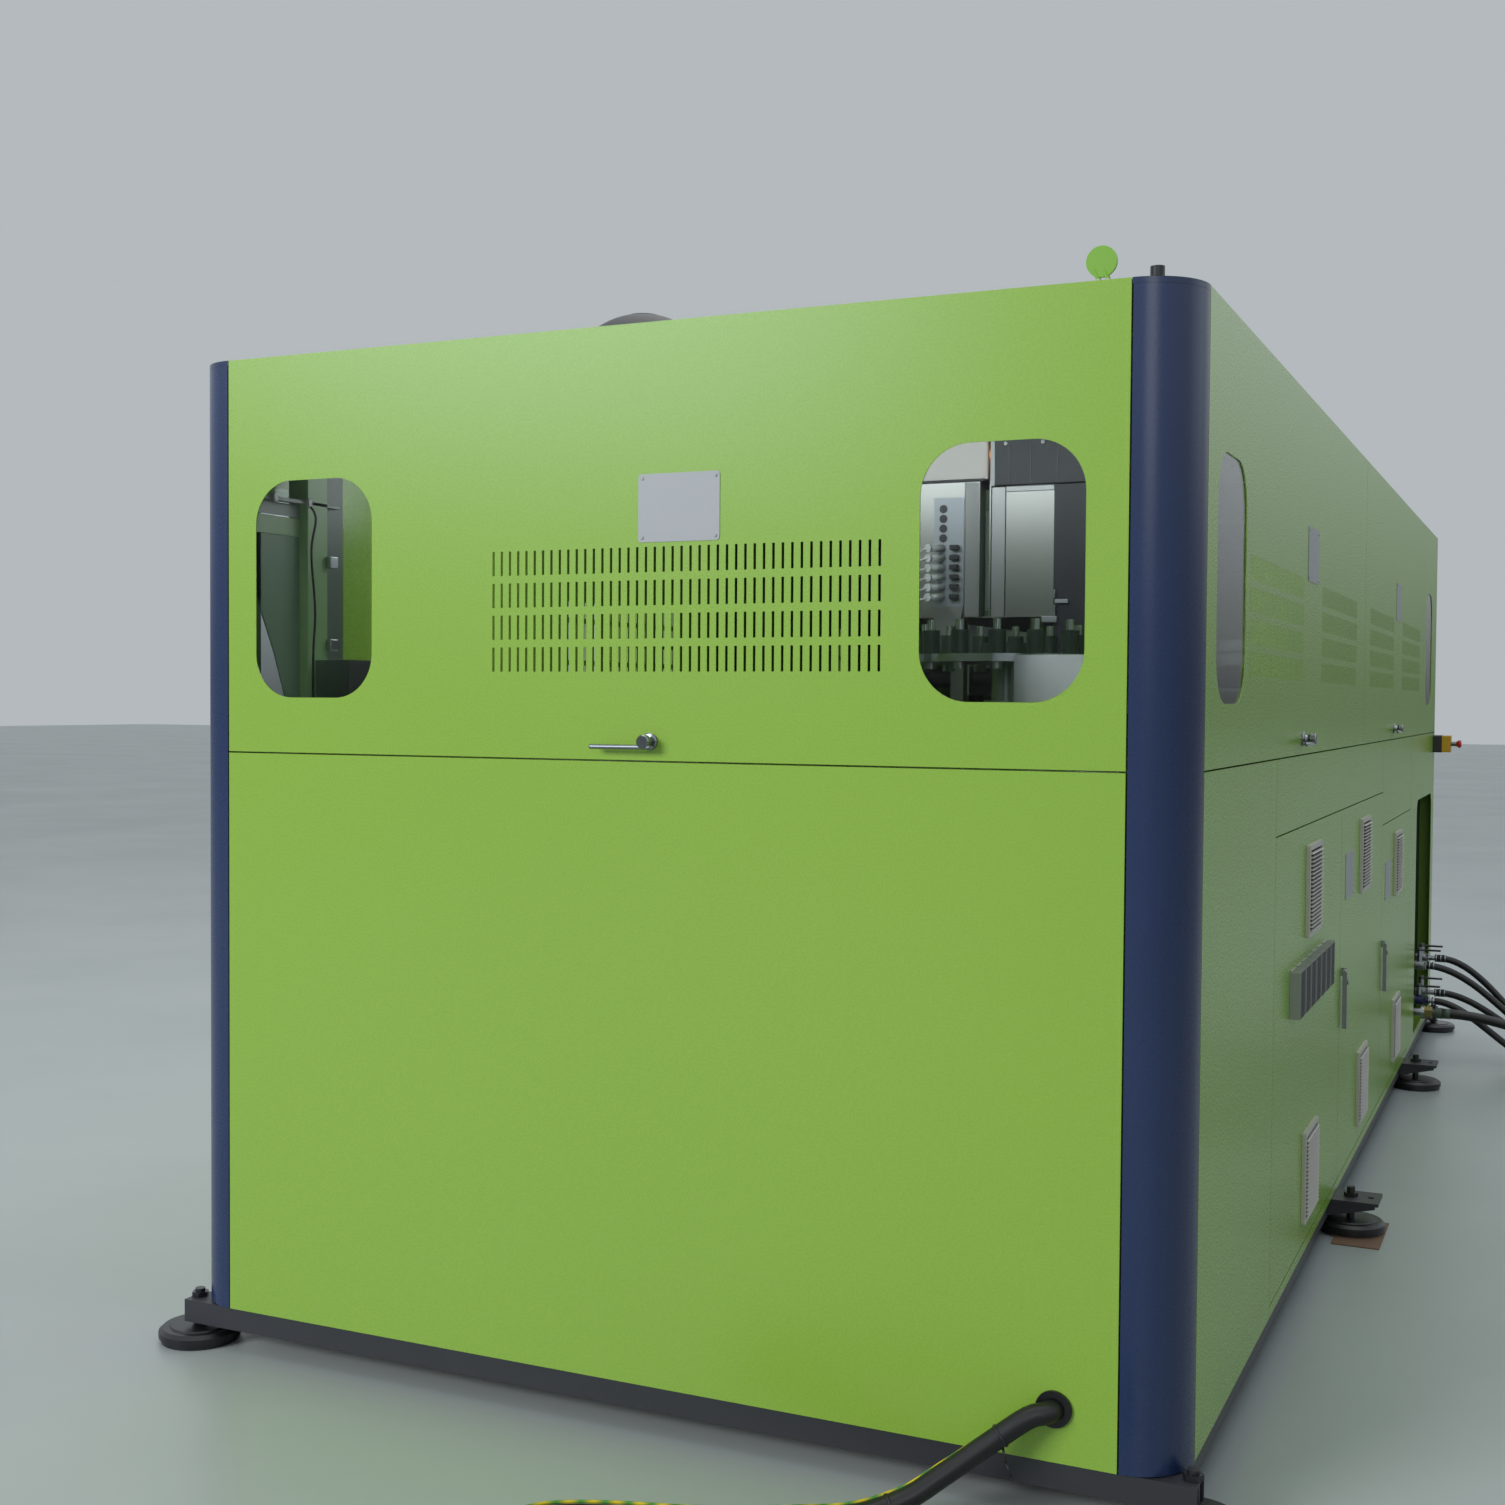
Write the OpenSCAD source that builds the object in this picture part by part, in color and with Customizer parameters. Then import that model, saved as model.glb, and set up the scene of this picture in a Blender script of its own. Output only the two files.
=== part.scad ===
// Enclosed blow moulding machine: a sheet-metal cabin on a welded cage and a base of rectangular tube.
// X is the width, Y runs from the front face to the rear, Z is up. The modules draw from the front face
// (Y = 0) and placed() moves them so that the origin is the middle of the footprint on the floor.

/* [Body] */
// Width across the side faces
body_w = 2000; // [1980:2:2080]
// Length from the front face to the rear face
body_l = 5000; // [4980:2:5120]
// Height of the roof skin above the floor
body_h = 1982; // [1970:1:2020]
// Height of the joint between lower and upper panels
split_z = 1208; // [1204:1:1214]
// Underside of the lower panels
skirt_z = 90; // [90:1:96]
// Outer radius of the corner posts
post_r = 100; // [92:1:100]
// Wall of the corner posts
post_t = 3; // [2:0.5:4]
// Thickness of the cabin sheet
sheet_t = 2; // [1.5:0.25:2.5]
// Gap between neighbouring panels
seam = 3; // [2.5:0.25:4]
// Depth of the folded edges of a hinged door
door_fold = 25; // [22:1:30]
// Depth of the folded edges of a cabinet door
cabinet_fold = 18; // [16:1:20]

/* [Base and cage] */
// Width of the base beams
beam_w = 60; // [56:1:64]
// Height of the base beams
beam_h = 45; // [40:1:45]
// Top of the base beams
beam_top = 88; // [86:1:89]
// How far the front and rear beams stand out at each side
beam_out = 22; // [21:1:26]
// Setback of the front and rear beams from the faces
beam_in = 8; // [6:1:10]
// Side of the square cage tube
tube_s = 50; // [44:1:54]
// Wall of the tubes
tube_t = 3; // [2:0.5:4]
// Setback of the cage from the faces
cage_in = 50; // [46:1:54]
// Radius of a foot pad
pad_r = 82.5; // [78:0.5:82.5]
// Radius of a foot stud
stud_r = 10; // [8:0.5:10]
// Distance of the first middle feet from the front
mid_foot_1 = 1880; // [1860:5:1900]
// Distance of the second middle feet from the rear
mid_foot_2_in = 1240; // [1220:5:1260]
// Reach of a middle foot beyond the side face
mid_foot_out = 40; // [34:1:40]
// Thickness of the shim under one foot
shim_t = 3; // [2:0.5:4]

/* [Windows and slots] */
// Width of a window opening
window_w = 278; // [260:1:284]
// Height of a window opening
window_h = 422; // [400:1:430]
// Corner radius of a window opening
window_r = 85; // [60:1:90]
// Height of the window centres above the joint
window_up = 320; // [307:1:332]
// Distance of the front windows from the side faces
front_window_in = 310; // [306:1:316]
// Distance of the near side windows from the front
side_window_y = 328; // [310:1:335]
// Distance of the far side window from the rear
end_window_y = 460; // [450:1:470]
// Thickness of a pane
pane_t = 4; // [3:0.5:6]
// Width of a slot
slot_w = 5; // [4:0.25:6]
// Height of a slot
slot_h = 44.5; // [40:0.5:48]
// Distance between slots
slot_pitch = 17.63; // [17:0.01:17.8]
// Distance between rows of slots
row_pitch = 58.5; // [54:0.5:60]
// Number of rows
slot_rows = 4; // [2:1:4]
// Slots in a row on the front door
front_slots = 44; // [36:1:44]
// Slots in a row on the side doors
side_slots = 39; // [30:1:39]
// Height of the top of the first row above the joint
slots_up = 379; // [372:1:392]
// Distance of the front slots from the centre line
front_slots_x = 102; // [98:1:106]
// Distance of the first side slots from the front
slots_1_y = 848; // [846:1:880]
// Distance of the second side slots in front of the seam between doors 1 and 2
slots_2_in = 536; // [510:1:560]
// Distance of the third side slots behind that seam
slots_3_in = 474; // [440:1:500]
// Distance of the fourth side slots in front of the seam behind door 2
slots_4_in = 483; // [463:1:503]

/* [Side doors] */
// Place of the seam between doors 1 and 2, as a share of the length in front of the end panel
door_share = 0.5513; // [0.547:0.0001:0.556]
// Length of the end panel behind door 2, from the rear face
end_panel_l = 717; // [710:1:730]
// Height of the lever handles above the joint
handle_up = 35; // [35:1:44]
// Distance of the front handle from the centre line
front_handle_x = 50; // [40:1:60]
// Distance of the first side handle from the front
handle_1_y = 1190; // [1170:1:1210]
// Distance of the second side handle behind the seam between the doors
handle_2_in = 839; // [819:1:859]
// Distance between the two ends of a lever
lever_l = 106; // [96:1:116]
// Radius of a handle shaft
shaft_r = 6; // [5:0.25:7]
// Radius of a hinge knuckle
knuckle_r = 4; // [3.8:0.1:4.2]
// Radius of a hinge pin
pin_r = 2; // [1.8:0.1:2.2]
// Knuckles in a hinge
knuckle_n = 9; // [7:2:11]

/* [Cabinet] */
// Distance of the first cabinet seam from the front
cab_seam_1 = 853; // [848:1:858]
// Place of the second cabinet seam, as a share of the length of the three doors
cab_share_1 = 0.354; // [0.351:0.001:0.357]
// Place of the third cabinet seam, as a share of the length of the three doors
cab_share_2 = 0.6863; // [0.6846:0.0001:0.689]
// Length of the outlet panel, from the rear face
outlet_panel_l = 1135; // [1130:1:1140]
// Top of cabinet doors 1 and 2
cab_top_a = 1051; // [1046:1:1056]
// Top of cabinet door 3
cab_top_b = 951; // [946:1:956]
// Underside of the cabinet doors
cab_low = 115; // [113:1:118]
// Radius of a cabinet door pivot
pivot_r = 3; // [2.5:0.25:3.5]
// Distance of a pivot from the edge of its door
pivot_in = 14; // [13:0.5:15]
// Side of a louvre
louvre_s = 204; // [196:1:210]
// Depth of a louvre
louvre_d = 14; // [12:0.5:16]
// Slats of a louvre
louvre_n = 20; // [16:1:22]
// Lower edge of the lower louvres
louvre_low = 165; // [160:1:175]
// Distance of the upper louvres below the top of the door
louvre_drop = 44; // [40:1:50]
// Width of a heat sink
sink_w = 66; // [60:1:70]
// Height of a heat sink
sink_h = 102; // [96:1:110]
// Depth of a heat sink
sink_d = 22; // [18:1:26]
// Distance between heat sinks
sink_pitch = 82.5; // [80:0.5:84]
// Number of heat sinks
sink_n = 7; // [4:1:7]
// Distance of the first heat sink behind the first cabinet seam
sink_in = 213; // [207:1:227]
// Distance of the heat sinks below the top of the door
sink_drop = 292; // [284:1:299]
// Length of a swing handle
swing_l = 150; // [140:1:160]
// Width of a swing handle
swing_w = 25; // [22:1:26]
// Distance of the swing handle pin below the top of cabinet door 2
swing_drop_2 = 411; // [400:1:420]
// Distance of the swing handle pin below the top of cabinet door 3
swing_drop_3 = 360; // [350:1:370]

/* [Outlet] */
// Width of the outlet opening
outlet_w = 670; // [650:1:675]
// Distance of the outlet opening from the rear face
outlet_end = 201; // [199:1:210]
// Lower edge of the outlet opening
outlet_low = 120; // [118:1:124]
// Upper edge of the outlet opening
outlet_top = 970; // [960:1:980]
// Radius of its upper corners
outlet_r = 60; // [50:1:80]
// Distance of the outer pair of valves from the rear face
valve_far = 600; // [594:1:604]
// Distance of the inner pair of valves from the rear face
valve_near = 700; // [696:1:706]
// Reach of the valve stems beyond the side face
stem_out = 5; // [3:1:8]
// Radius of a valve stem
stem_r = 6; // [5:0.25:7]
// Length of a valve lever
valve_lever_l = 74; // [66:1:78]
// Radius of the small hoses
hose_r = 12.5; // [11:0.5:13]
// Radius of the large hose
main_hose_r = 17.5; // [16:0.5:18]
// Side of the stop station
estop_s = 68; // [62:1:70]
// Distance of the stop station from the rear face
estop_y = 150; // [148:1:156]
// Distance of the stop station below the joint
estop_drop = 45; // [42:1:53]
// Travel of the stop button
estop_travel = 6; // [4:0.5:7]

/* [Supply] */
// Distance of the supply grommet from the side face
gland_in = 206; // [200:1:212]
// Height of the supply grommet
gland_z = 178; // [172:1:184]
// Radius of the supply grommet
gland_r = 30; // [28:0.5:32]
// Radius of the supply conduit
conduit_r = 18; // [16:0.5:18]

/* [Roof] */
// Distance of the fan from the centre line
fan_x = -236; // [-250:1:-220]
// Distance of the fan from the front
fan_y = 500; // [490:1:510]
// Radius of the fan hood
fan_r = 139; // [134:1:142]
// Height of the fan hood above the roof
fan_h = 132; // [128:1:138]
// Radius of the fan throat
throat_r = 100; // [96:1:104]
// Blades of the fan
blade_n = 6; // [4:1:8]
// Radius of the roof disc
disc_r = 26; // [24:1:28]
// Distance of the roof disc from the side face
disc_in = 188; // [180:1:196]
// Distance of the roof disc from the front
disc_y = 153; // [145:1:160]
// Distance of the roof knob from the side face
knob_in = 100; // [95:1:110]
// Distance of the roof knob from the front
knob_y = 170; // [160:1:180]

/* [Inside] */
// Thickness of the deck
deck_t = 12; // [10:1:14]
// Height of the wheel bearing above the deck
boss_h = 80; // [70:1:90]
// Width of the right cover box on the deck
cover_w = 240; // [220:1:250]
// Length of the right cover box
cover_l = 200; // [180:1:220]
// Height of the right cover box
cover_h = 180; // [165:1:190]
// Side of the left cover box
small_cover_s = 150; // [140:1:160]
// Distance of the left cover box from the side face
small_cover_in = 55; // [53:1:70]
// Height of the left cover box
small_cover_h = 176; // [165:1:190]
// Distance of the star wheel from the centre line
wheel_x = 490; // [480:1:500]
// Distance of the star wheel from the front
wheel_y = 700; // [690:1:710]
// Radius of the star wheel plate
wheel_r = 215; // [205:1:220]
// Thickness of the star wheel plate
wheel_t = 15; // [12:1:18]
// Height of the star wheel plate above the deck
wheel_up = 175; // [165:1:185]
// Height of a mandrel socket
socket_h = 46; // [42:1:50]
// Height of a mandrel tip
tip_h = 21; // [18:1:24]
// Radius of the mandrel circle
mandrel_circle = 190; // [180:1:192]
// Number of mandrels
mandrel_n = 16; // [12:1:18]
// Radius of the wheel shaft
wheel_shaft_r = 30; // [26:1:32]
// Distance of the oven from the front
oven_y = 1000; // [990:1:1020]
// Length of the oven
oven_l = 1200; // [1100:10:1250]
// Height of the oven boxes
oven_h = 298; // [290:1:300]
// Distance of the underside of the oven boxes below the roof
oven_drop = 479; // [472:1:482]
// Distance of the first oven box from the centre line
oven_a_x = 197; // [190:1:204]
// Width of the first oven box
oven_a_w = 138; // [130:1:145]
// Distance of the second oven box from the centre line
oven_b_x = 395; // [385:1:402]
// Width of the second oven box
oven_b_w = 108; // [102:1:114]
// Width of the connector plate
connector_w = 70; // [64:1:76]
// Height of the connector plate
connector_h = 240; // [230:1:250]
// Radius of a connector socket
socket_r = 8; // [7:0.5:9]
// Distance between connector sockets
socket_pitch = 21.5; // [20:0.5:23]
// Distance of the clamp unit from the front
clamp_y = 2880; // [2870:1:2900]
// Length of the clamp unit
clamp_l = 840; // [820:2:860]
// Half the distance between the clamp end plates
clamp_x = 700; // [690:1:720]
// Gap between the clamp unit and the roof rails
clamp_gap = 28; // [20:1:40]
// Thickness of the clamp end plates
clamp_t = 40; // [36:1:45]
// Thickness of a platen
platen_t = 60; // [55:1:65]
// Thickness of a mould half
mould_t = 148; // [140:1:155]
// Length of a mould half
mould_l = 500; // [480:5:520]
// Radius of a mould cavity
cavity_r = 42; // [36:1:46]
// Radius of a tie bar
tie_r = 30; // [26:1:32]
// Distance of the tie bars from the ends of the clamp plates
tie_in = 70; // [64:1:74]
// Stroke of each mould half
mould_stroke = 150; // [140:1:160]
// Radius of a guide column
guide_r = 15; // [12:1:18]
// Stroke of the blow carriage
blow_stroke = 40; // [30:1:44]
// Distance of the control rack from the side face
rack_in = 300; // [290:1:320]
// Distance of the control rack from the cabinet seams
rack_end = 47; // [44:1:56]
// Lower edge of the control rack
rack_low = 150; // [145:1:160]
// Distance of the top of the control rack below the joint
rack_drop = 208; // [200:1:220]
// Width of the largest control module
module_w = 112; // [105:1:118]
// Height of a control module
module_h = 93; // [85:1:98]

/* [Hidden] */
$fn = 48;
// Gap between faces that rest on each other
seat_gap = 0.3;
// Radial gap of a running shaft
run_gap = 0.05;
// Gap between welded tubes, filled by the weld
weld_gap = 0.2;
// Gap between the knuckles of a hinge
knuckle_gap = 0.3;

half_w = body_w / 2;
corner_end = post_r + seam;
front_w = body_w - 2 * corner_end;
side_l = body_l - 2 * corner_end;
roof_t = 3;
// Axis of the door hinges: behind the face sheet, just under the roof
hinge_in = sheet_t + seat_gap + knuckle_r;
hinge_z = body_h - knuckle_r;
door_top = body_h - 2 * knuckle_r - seat_gap;
// The roof stays clear of the lip of a door that turns about that axis
roof_in = hinge_in + norm([hinge_in, knuckle_r]) + seat_gap;
roof_rim_h = 10;
low_top = split_z - seam / 2;
high_low = split_z + seam / 2;
low_h = low_top - skirt_z;
fixed_fold = cage_in - seat_gap;
leaf_z = body_h - roof_t;
cage_top = leaf_z - seat_gap;
door_h = door_top - high_low;
high_h = cage_top - high_low;
cage_x = half_w - cage_in - tube_s;
cage_low = beam_top + seat_gap;
beam_low = beam_top - beam_h;
side_beam_out = 10;
side_beam_x = half_w - side_beam_out - beam_w;
pane_lap = 25;
pane_r = 40;
corner_foot_x = half_w + 10;
corner_foot_y = 41;
mid_feet = [mid_foot_1, body_l - mid_foot_2_in];
window_z = split_z + window_up;
front_window_x = half_w - front_window_in;
slots_top = split_z + slots_up;
door_seam_2 = body_l - end_panel_l;
door_seam_1 = door_share * door_seam_2;
slots_2_y = door_seam_1 - slots_2_in;
slots_3_y = door_seam_1 + slots_3_in;
slots_4_y = door_seam_2 - slots_4_in;
handle_z = split_z + handle_up;
handle_2_y = door_seam_1 + handle_2_in;
cab_seam_4 = body_l - outlet_panel_l;
cab_seam_2 = cab_seam_1 + cab_share_1 * (cab_seam_4 - cab_seam_1);
cab_seam_3 = cab_seam_1 + cab_share_2 * (cab_seam_4 - cab_seam_1);
door_1_l = door_seam_1 - seam / 2 - corner_end;
door_2_y = door_seam_1 + seam / 2;
door_2_l = door_seam_2 - door_seam_1 - seam;
end_y = door_seam_2 + seam / 2;
end_l = body_l - corner_end - end_y;
deck_z = split_z + seat_gap;
deck_top = deck_z + deck_t;
notch_gap = 0.5;
connector_t = 8;
oven_z = body_h - oven_drop;
// The clamp unit stands on the deck and ends below the roof rails
clamp_low = deck_top + seat_gap;
clamp_h = cage_top - tube_s - clamp_gap - clamp_low;
mould_h = clamp_h - 315;
guide_y = clamp_l / 2 - tie_in - tie_r - guide_r - 20;
carriage_low = clamp_low + clamp_h - 75;
tie_heights = [clamp_low + 180, clamp_low + clamp_h - 100];
cab_low_mullions = [cab_seam_1, cab_seam_3, cab_seam_4];
high_mullions = [door_seam_1, door_seam_2];
pivot_depth = 6;
louvre_hole = louvre_s - 26;
louvre_y_1 = (cab_seam_1 + cab_seam_2) / 2;
louvre_y_2 = (cab_seam_2 + cab_seam_3) / 2;
louvre_y_3 = (cab_seam_3 + cab_seam_4) / 2;
swing_y_2 = cab_seam_2 + 18;
swing_y_3 = cab_seam_3 + 18;
swing_z_2 = cab_top_a - swing_drop_2;
swing_z_3 = cab_top_b - swing_drop_3;
ear_t = 4;
sink_y = cab_seam_1 + sink_in;
sink_z = cab_top_a - sink_drop - sink_h;
estop_z = split_z - estop_drop;
// Depths of the stop station: base, cover and the red head
estop_base_d = 34;
estop_cover_d = 66;
estop_head_d = 86;
estop_stem_r = 9;
// How far the stem stands in the cover at rest
estop_grip = 12;
gland_x = half_w - gland_in;
// Each valve: distance from the rear face, height of the bore, height of the lever, end of the nozzle
valves = [
    [valve_far, 365, 407, 75],
    [valve_near, 349, 403, 30],
    [valve_far, 235, 285, 75],
    [valve_near, 218, 269, 60]
];
main_port = [780, 187, 121];
// Each hose: x, y and z of its start, its plane after it has spread, radius, length of its fall and end
hoses = [
    [half_w + 75, body_l - valve_far, 365, body_l - valve_far + 35, hose_r, 474, body_l / 2 + 60],
    [half_w + 30, body_l - valve_near, 349, body_l - valve_near + 35, hose_r, 573, body_l / 2 + 180],
    [half_w + 75, body_l - valve_far, 235, body_l - valve_far - 5, hose_r, 490, body_l / 2 + 120],
    [half_w + 60, body_l - valve_near, 218, body_l - valve_near - 10, hose_r, 400, body_l / 2 + 240],
    [half_w + main_port[2], body_l - main_port[0], main_port[1], body_l - main_port[0], main_hose_r, 778,
        body_l / 2 + 300]
];
// Middle of the common bend that leads the hoses into their lanes beside the machine
bend_x = half_w + 330;
bend_y = body_l - 900;
spread_l = 200;
conduit_end = [gland_x + 96, -542, conduit_r + 11];
conduit_path = [
    [gland_x, 8, gland_z],
    [gland_x, -8, gland_z],
    [gland_x - 9, -21, gland_z - 2],
    [gland_x - 34, -34, gland_z - 9],
    [gland_x - 89, -60, gland_z - 50],
    [gland_x - 152, -95, gland_z - 98],
    [gland_x - 212, -135, 40],
    [gland_x - 300, -192, conduit_r],
    [gland_x - 470, -285, conduit_r],
    [gland_x - 650, -350, conduit_r],
    [gland_x - 730, -400, conduit_r],
    [gland_x - 745, -465, conduit_r],
    [gland_x - 705, -520, conduit_r],
    [gland_x - 600, -545, conduit_r],
    [gland_x - 200, -540, conduit_r],
    conduit_end - [30, 0, 0],
    conduit_end
];

// Moves the drawing from the front face to the middle of the footprint.
module placed() {
    translate([0, -body_l / 2, 0]) children();
}

// The right side: x runs to the rear, y goes into the machine.
module on_right(y, z) {
    translate([half_w, y, z]) rotate([0, 0, 90]) children();
}

// The left side: x runs to the front, y goes into the machine.
module on_left(y, z) {
    translate([-half_w, y, z]) rotate([0, 0, -90]) children();
}

// The rear: x runs to the left, y goes into the machine.
module on_rear(x, z) {
    translate([x, body_l, z]) rotate([0, 0, 180]) children();
}

// A flat drawing stood upright: its y goes up and it fills the depth d behind y0.
module upright(y0, d) {
    translate([0, y0 + d, 0]) rotate([90, 0, 0]) linear_extrude(d) children();
}

// A rectangle about its centre with true round corners.
module rounded(w, h, r) {
    square([w - 2 * r, h], center = true);
    square([w, h - 2 * r], center = true);
    for (x = [-1, 1])
        for (y = [-1, 1])
            translate([x * (w / 2 - r), y * (h / 2 - r)]) circle(r);
}

// A folded sheet panel, outer face at y = 0.
module pan(w, h, d) {
    difference() {
        cube([w, d, h]);
        translate([sheet_t, sheet_t, sheet_t]) cube([w - 2 * sheet_t, d, h - 2 * sheet_t]);
    }
}

// A hollow tube of the given outside size along one axis.
module tube_run(size, along) {
    hole = [for (i = [0:2]) i == along ? size[i] + 2 : size[i] - 2 * tube_t];
    start = [for (i = [0:2]) i == along ? -1 : tube_t];
    difference() {
        cube(size);
        translate(start) cube(hole);
    }
}

// The cutting shape of a block of upright slots, centred on x with its top at z.
module slot_block(n, z) {
    for (r = [0 : slot_rows - 1])
        for (i = [0 : n - 1])
            translate([(i - (n - 1) / 2) * slot_pitch - slot_w / 2, -1, z - r * row_pitch - slot_h])
                cube([slot_w, sheet_t + 2, slot_h]);
}

// The cutting shape of a window, centred on x.
module window_hole(z) {
    translate([0, 0, z]) upright(-1, sheet_t + 2) rounded(window_w, window_h, window_r);
}

// A pane behind a window, centred on x.
module pane(z) {
    translate([0, 0, z]) upright(sheet_t + seat_gap, pane_t)
        rounded(window_w + 2 * pane_lap, window_h + 2 * pane_lap, pane_r);
}

// The cutting shape for a handle shaft.
module shaft_hole(x, z) {
    translate([x, sheet_t + 1, z]) rotate([90, 0, 0]) cylinder(r = shaft_r + run_gap, h = sheet_t + 2);
}

// Every second knuckle of a hinge along x, starting with the first or the second.
module knuckles(l, first) {
    step = l / knuckle_n;
    for (i = [first : 2 : knuckle_n - 1])
        translate([i * step + knuckle_gap / 2, hinge_in, 0]) rotate([0, 90, 0])
            cylinder(r = knuckle_r, h = step - knuckle_gap);
}

// The moving half of a hinge: a lip of the face sheet that hides the hinge, and knuckles on webs behind it.
module door_hinge(l) {
    step = l / knuckle_n;
    translate([0, 0, door_top - 1]) cube([l, sheet_t, hinge_z + knuckle_r - seat_gap - door_top + 1]);
    translate([0, 0, hinge_z]) difference() {
        union() {
            knuckles(l, 1);
            for (i = [1 : 2 : knuckle_n - 1])
                translate([i * step + knuckle_gap / 2, sheet_t - 1, -knuckle_r / 2])
                    cube([step - knuckle_gap, hinge_in - sheet_t + 1, knuckle_r]);
        }
        translate([-1, hinge_in, 0]) rotate([0, 90, 0]) cylinder(r = pin_r + run_gap, h = l + 2);
    }
}

// The fixed half of a hinge: knuckles with the pin, carried by the roof skin.
module roof_hinge(l) {
    step = l / knuckle_n;
    translate([0, 0, hinge_z]) {
        knuckles(l, 0);
        translate([knuckle_gap / 2, hinge_in, 0]) rotate([0, 90, 0])
            cylinder(r = pin_r, h = l - knuckle_gap);
    }
    for (i = [0 : 2 : knuckle_n - 1])
        translate([i * step + knuckle_gap / 2, hinge_in + 1.5, leaf_z])
            cube([step - knuckle_gap, roof_in - hinge_in, roof_t]);
}

// A lever handle about its shaft: rose, waisted neck, head and a slim rod that points to -x, with a latch
// cam behind the sheet.
module lever_handle() {
    rose_r = 2.6 * shaft_r;
    rose_h = 6;
    neck_h = 12;
    head_h = 12;
    rod_r = 0.75 * shaft_r;
    rod_tail = 1.6 * shaft_r;
    cam_back = 18;
    cam_t = 5;
    rotate([90, 0, 0]) {
        rotate_extrude() polygon([
            [0, seat_gap], [rose_r, seat_gap], [rose_r, rose_h - 2], [rose_r - 2, rose_h],
            [1.5 * shaft_r, rose_h + 1], [1.4 * shaft_r, rose_h + neck_h / 2],
            [2.1 * shaft_r, rose_h + neck_h], [2.1 * shaft_r, rose_h + neck_h + head_h - 2],
            [2.1 * shaft_r - 2, rose_h + neck_h + head_h], [0, rose_h + neck_h + head_h]
        ]);
        translate([0, 0, -cam_back]) cylinder(r = shaft_r, h = cam_back + rose_h);
        translate([rod_tail, -1.6 * shaft_r, rose_h + neck_h + head_h / 2]) rotate([0, -90, 0])
            cylinder(r = rod_r, h = lever_l + rod_tail);
        for (x = [rod_tail, -lever_l])
            translate([x, -1.6 * shaft_r, rose_h + neck_h + head_h / 2]) sphere(rod_r);
        translate([-1.5 * shaft_r, -3.7 * shaft_r, -cam_back]) cube([3 * shaft_r, 5.4 * shaft_r, cam_t]);
    }
}

// A cabinet door hinged on pins: x is the edge of the pivots, 0 for the near and l for the far edge.
module cabinet_leaf(l, h, at) {
    difference() {
        pan(l, h, cabinet_fold);
        translate([at, pivot_depth, -1]) cylinder(r = pivot_r + run_gap, h = h + 2);
        for (z = [louvre_low - cab_low, h - louvre_drop - louvre_s])
            translate([(l - louvre_hole) / 2, -1, z + (louvre_s - louvre_hole) / 2])
                cube([louvre_hole, sheet_t + 2, louvre_hole]);
    }
}

// Two ears on a cabinet door that carry a swing handle.
module swing_ears(x, z) {
    difference() {
        for (s = [-1, 1])
            translate([x + s * (swing_w / 2 + 1 + ear_t / 2) - ear_t / 2, -13, z - 8]) cube([ear_t, 14, 16]);
        translate([x - swing_w, -8, z]) rotate([0, 90, 0]) cylinder(r = pin_r + run_gap, h = 2 * swing_w);
    }
}

// A swing handle hanging from its pin at the origin.
module swing_lever() {
    rotate([0, 90, 0]) translate([0, 0, -swing_w / 2 - ear_t])
        cylinder(r = pin_r, h = swing_w + 2 * ear_t);
    difference() {
        union() {
            translate([-swing_w / 2, -9, -swing_l + 8]) cube([swing_w, 11, swing_l - 8]);
            rotate([0, 90, 0]) translate([0, 0, -swing_w / 2]) cylinder(r = 7, h = swing_w);
            translate([0, -6, -22]) rotate([90, 0, 0]) cylinder(r = 9, h = 6);
        }
        translate([-swing_w / 2 + 4, -5, -swing_l + 12]) cube([swing_w - 8, 10, swing_l - 50]);
    }
}

// A plastic louvre about its centre: a frame, rain slats that stand out of it and a tray that enters the
// door.
module louvre() {
    rim = 12;
    rim_d = 0.65 * louvre_d;
    back = 0.35 * louvre_d;
    inner = louvre_s - 2 * rim;
    step = inner / louvre_n;
    slats = [
        for (i = [0 : louvre_n - 1])
            each [[-back, i * step], [-louvre_d, i * step + 0.2], [-louvre_d, i * step + 0.15 * step],
                [-back, (i + 0.6) * step]]
    ];
    difference() {
        upright(-rim_d, rim_d - seat_gap) rounded(louvre_s, louvre_s, 4);
        upright(-rim_d - 1, rim_d + 2) square(inner, center = true);
    }
    translate([-inner / 2 - 1, 0, -inner / 2]) rotate([90, 0, 90]) linear_extrude(inner + 2)
        polygon(concat([[-back, -1]], slats, [[-back, inner + 1], [-3, inner + 1], [-3, -1]]));
    upright(-3.5, 18) difference() {
        square(louvre_hole - 2, center = true);
        square(louvre_hole - 12, center = true);
    }
}

// A finned heat sink standing on the face, as one extruded comb.
module heat_sink() {
    fin_n = 9;
    fin_t = 2.4;
    base_t = 5;
    step = (sink_w - fin_t) / (fin_n - 1);
    comb = [
        for (i = [0 : fin_n - 1])
            each [[i * step, -base_t], [i * step, -sink_d], [i * step + fin_t, -sink_d],
                [i * step + fin_t, -base_t]]
    ];
    linear_extrude(sink_h) polygon(concat(comb, [[sink_w, -seat_gap], [0, -seat_gap]]));
}

// A lever of a ball valve about its stem, pointing to +x.
module valve_lever(i) {
    v = valves[i];
    translate([half_w + stem_out, body_l - v[0], v[2]]) difference() {
        union() {
            cylinder(r = stem_r + 5, h = 4);
            translate([0, -7, 0]) cube([valve_lever_l * 0.35, 14, 4]);
            translate([valve_lever_l * 0.3, -8, 0]) cube([valve_lever_l * 0.7 - 8, 16, 6]);
            translate([valve_lever_l - 8, 0, 0]) cylinder(r = 8, h = 6);
        }
        translate([0, 0, -1]) cylinder(r = stem_r + run_gap, h = 8);
    }
}

function unit(v) = v / norm(v);

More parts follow.
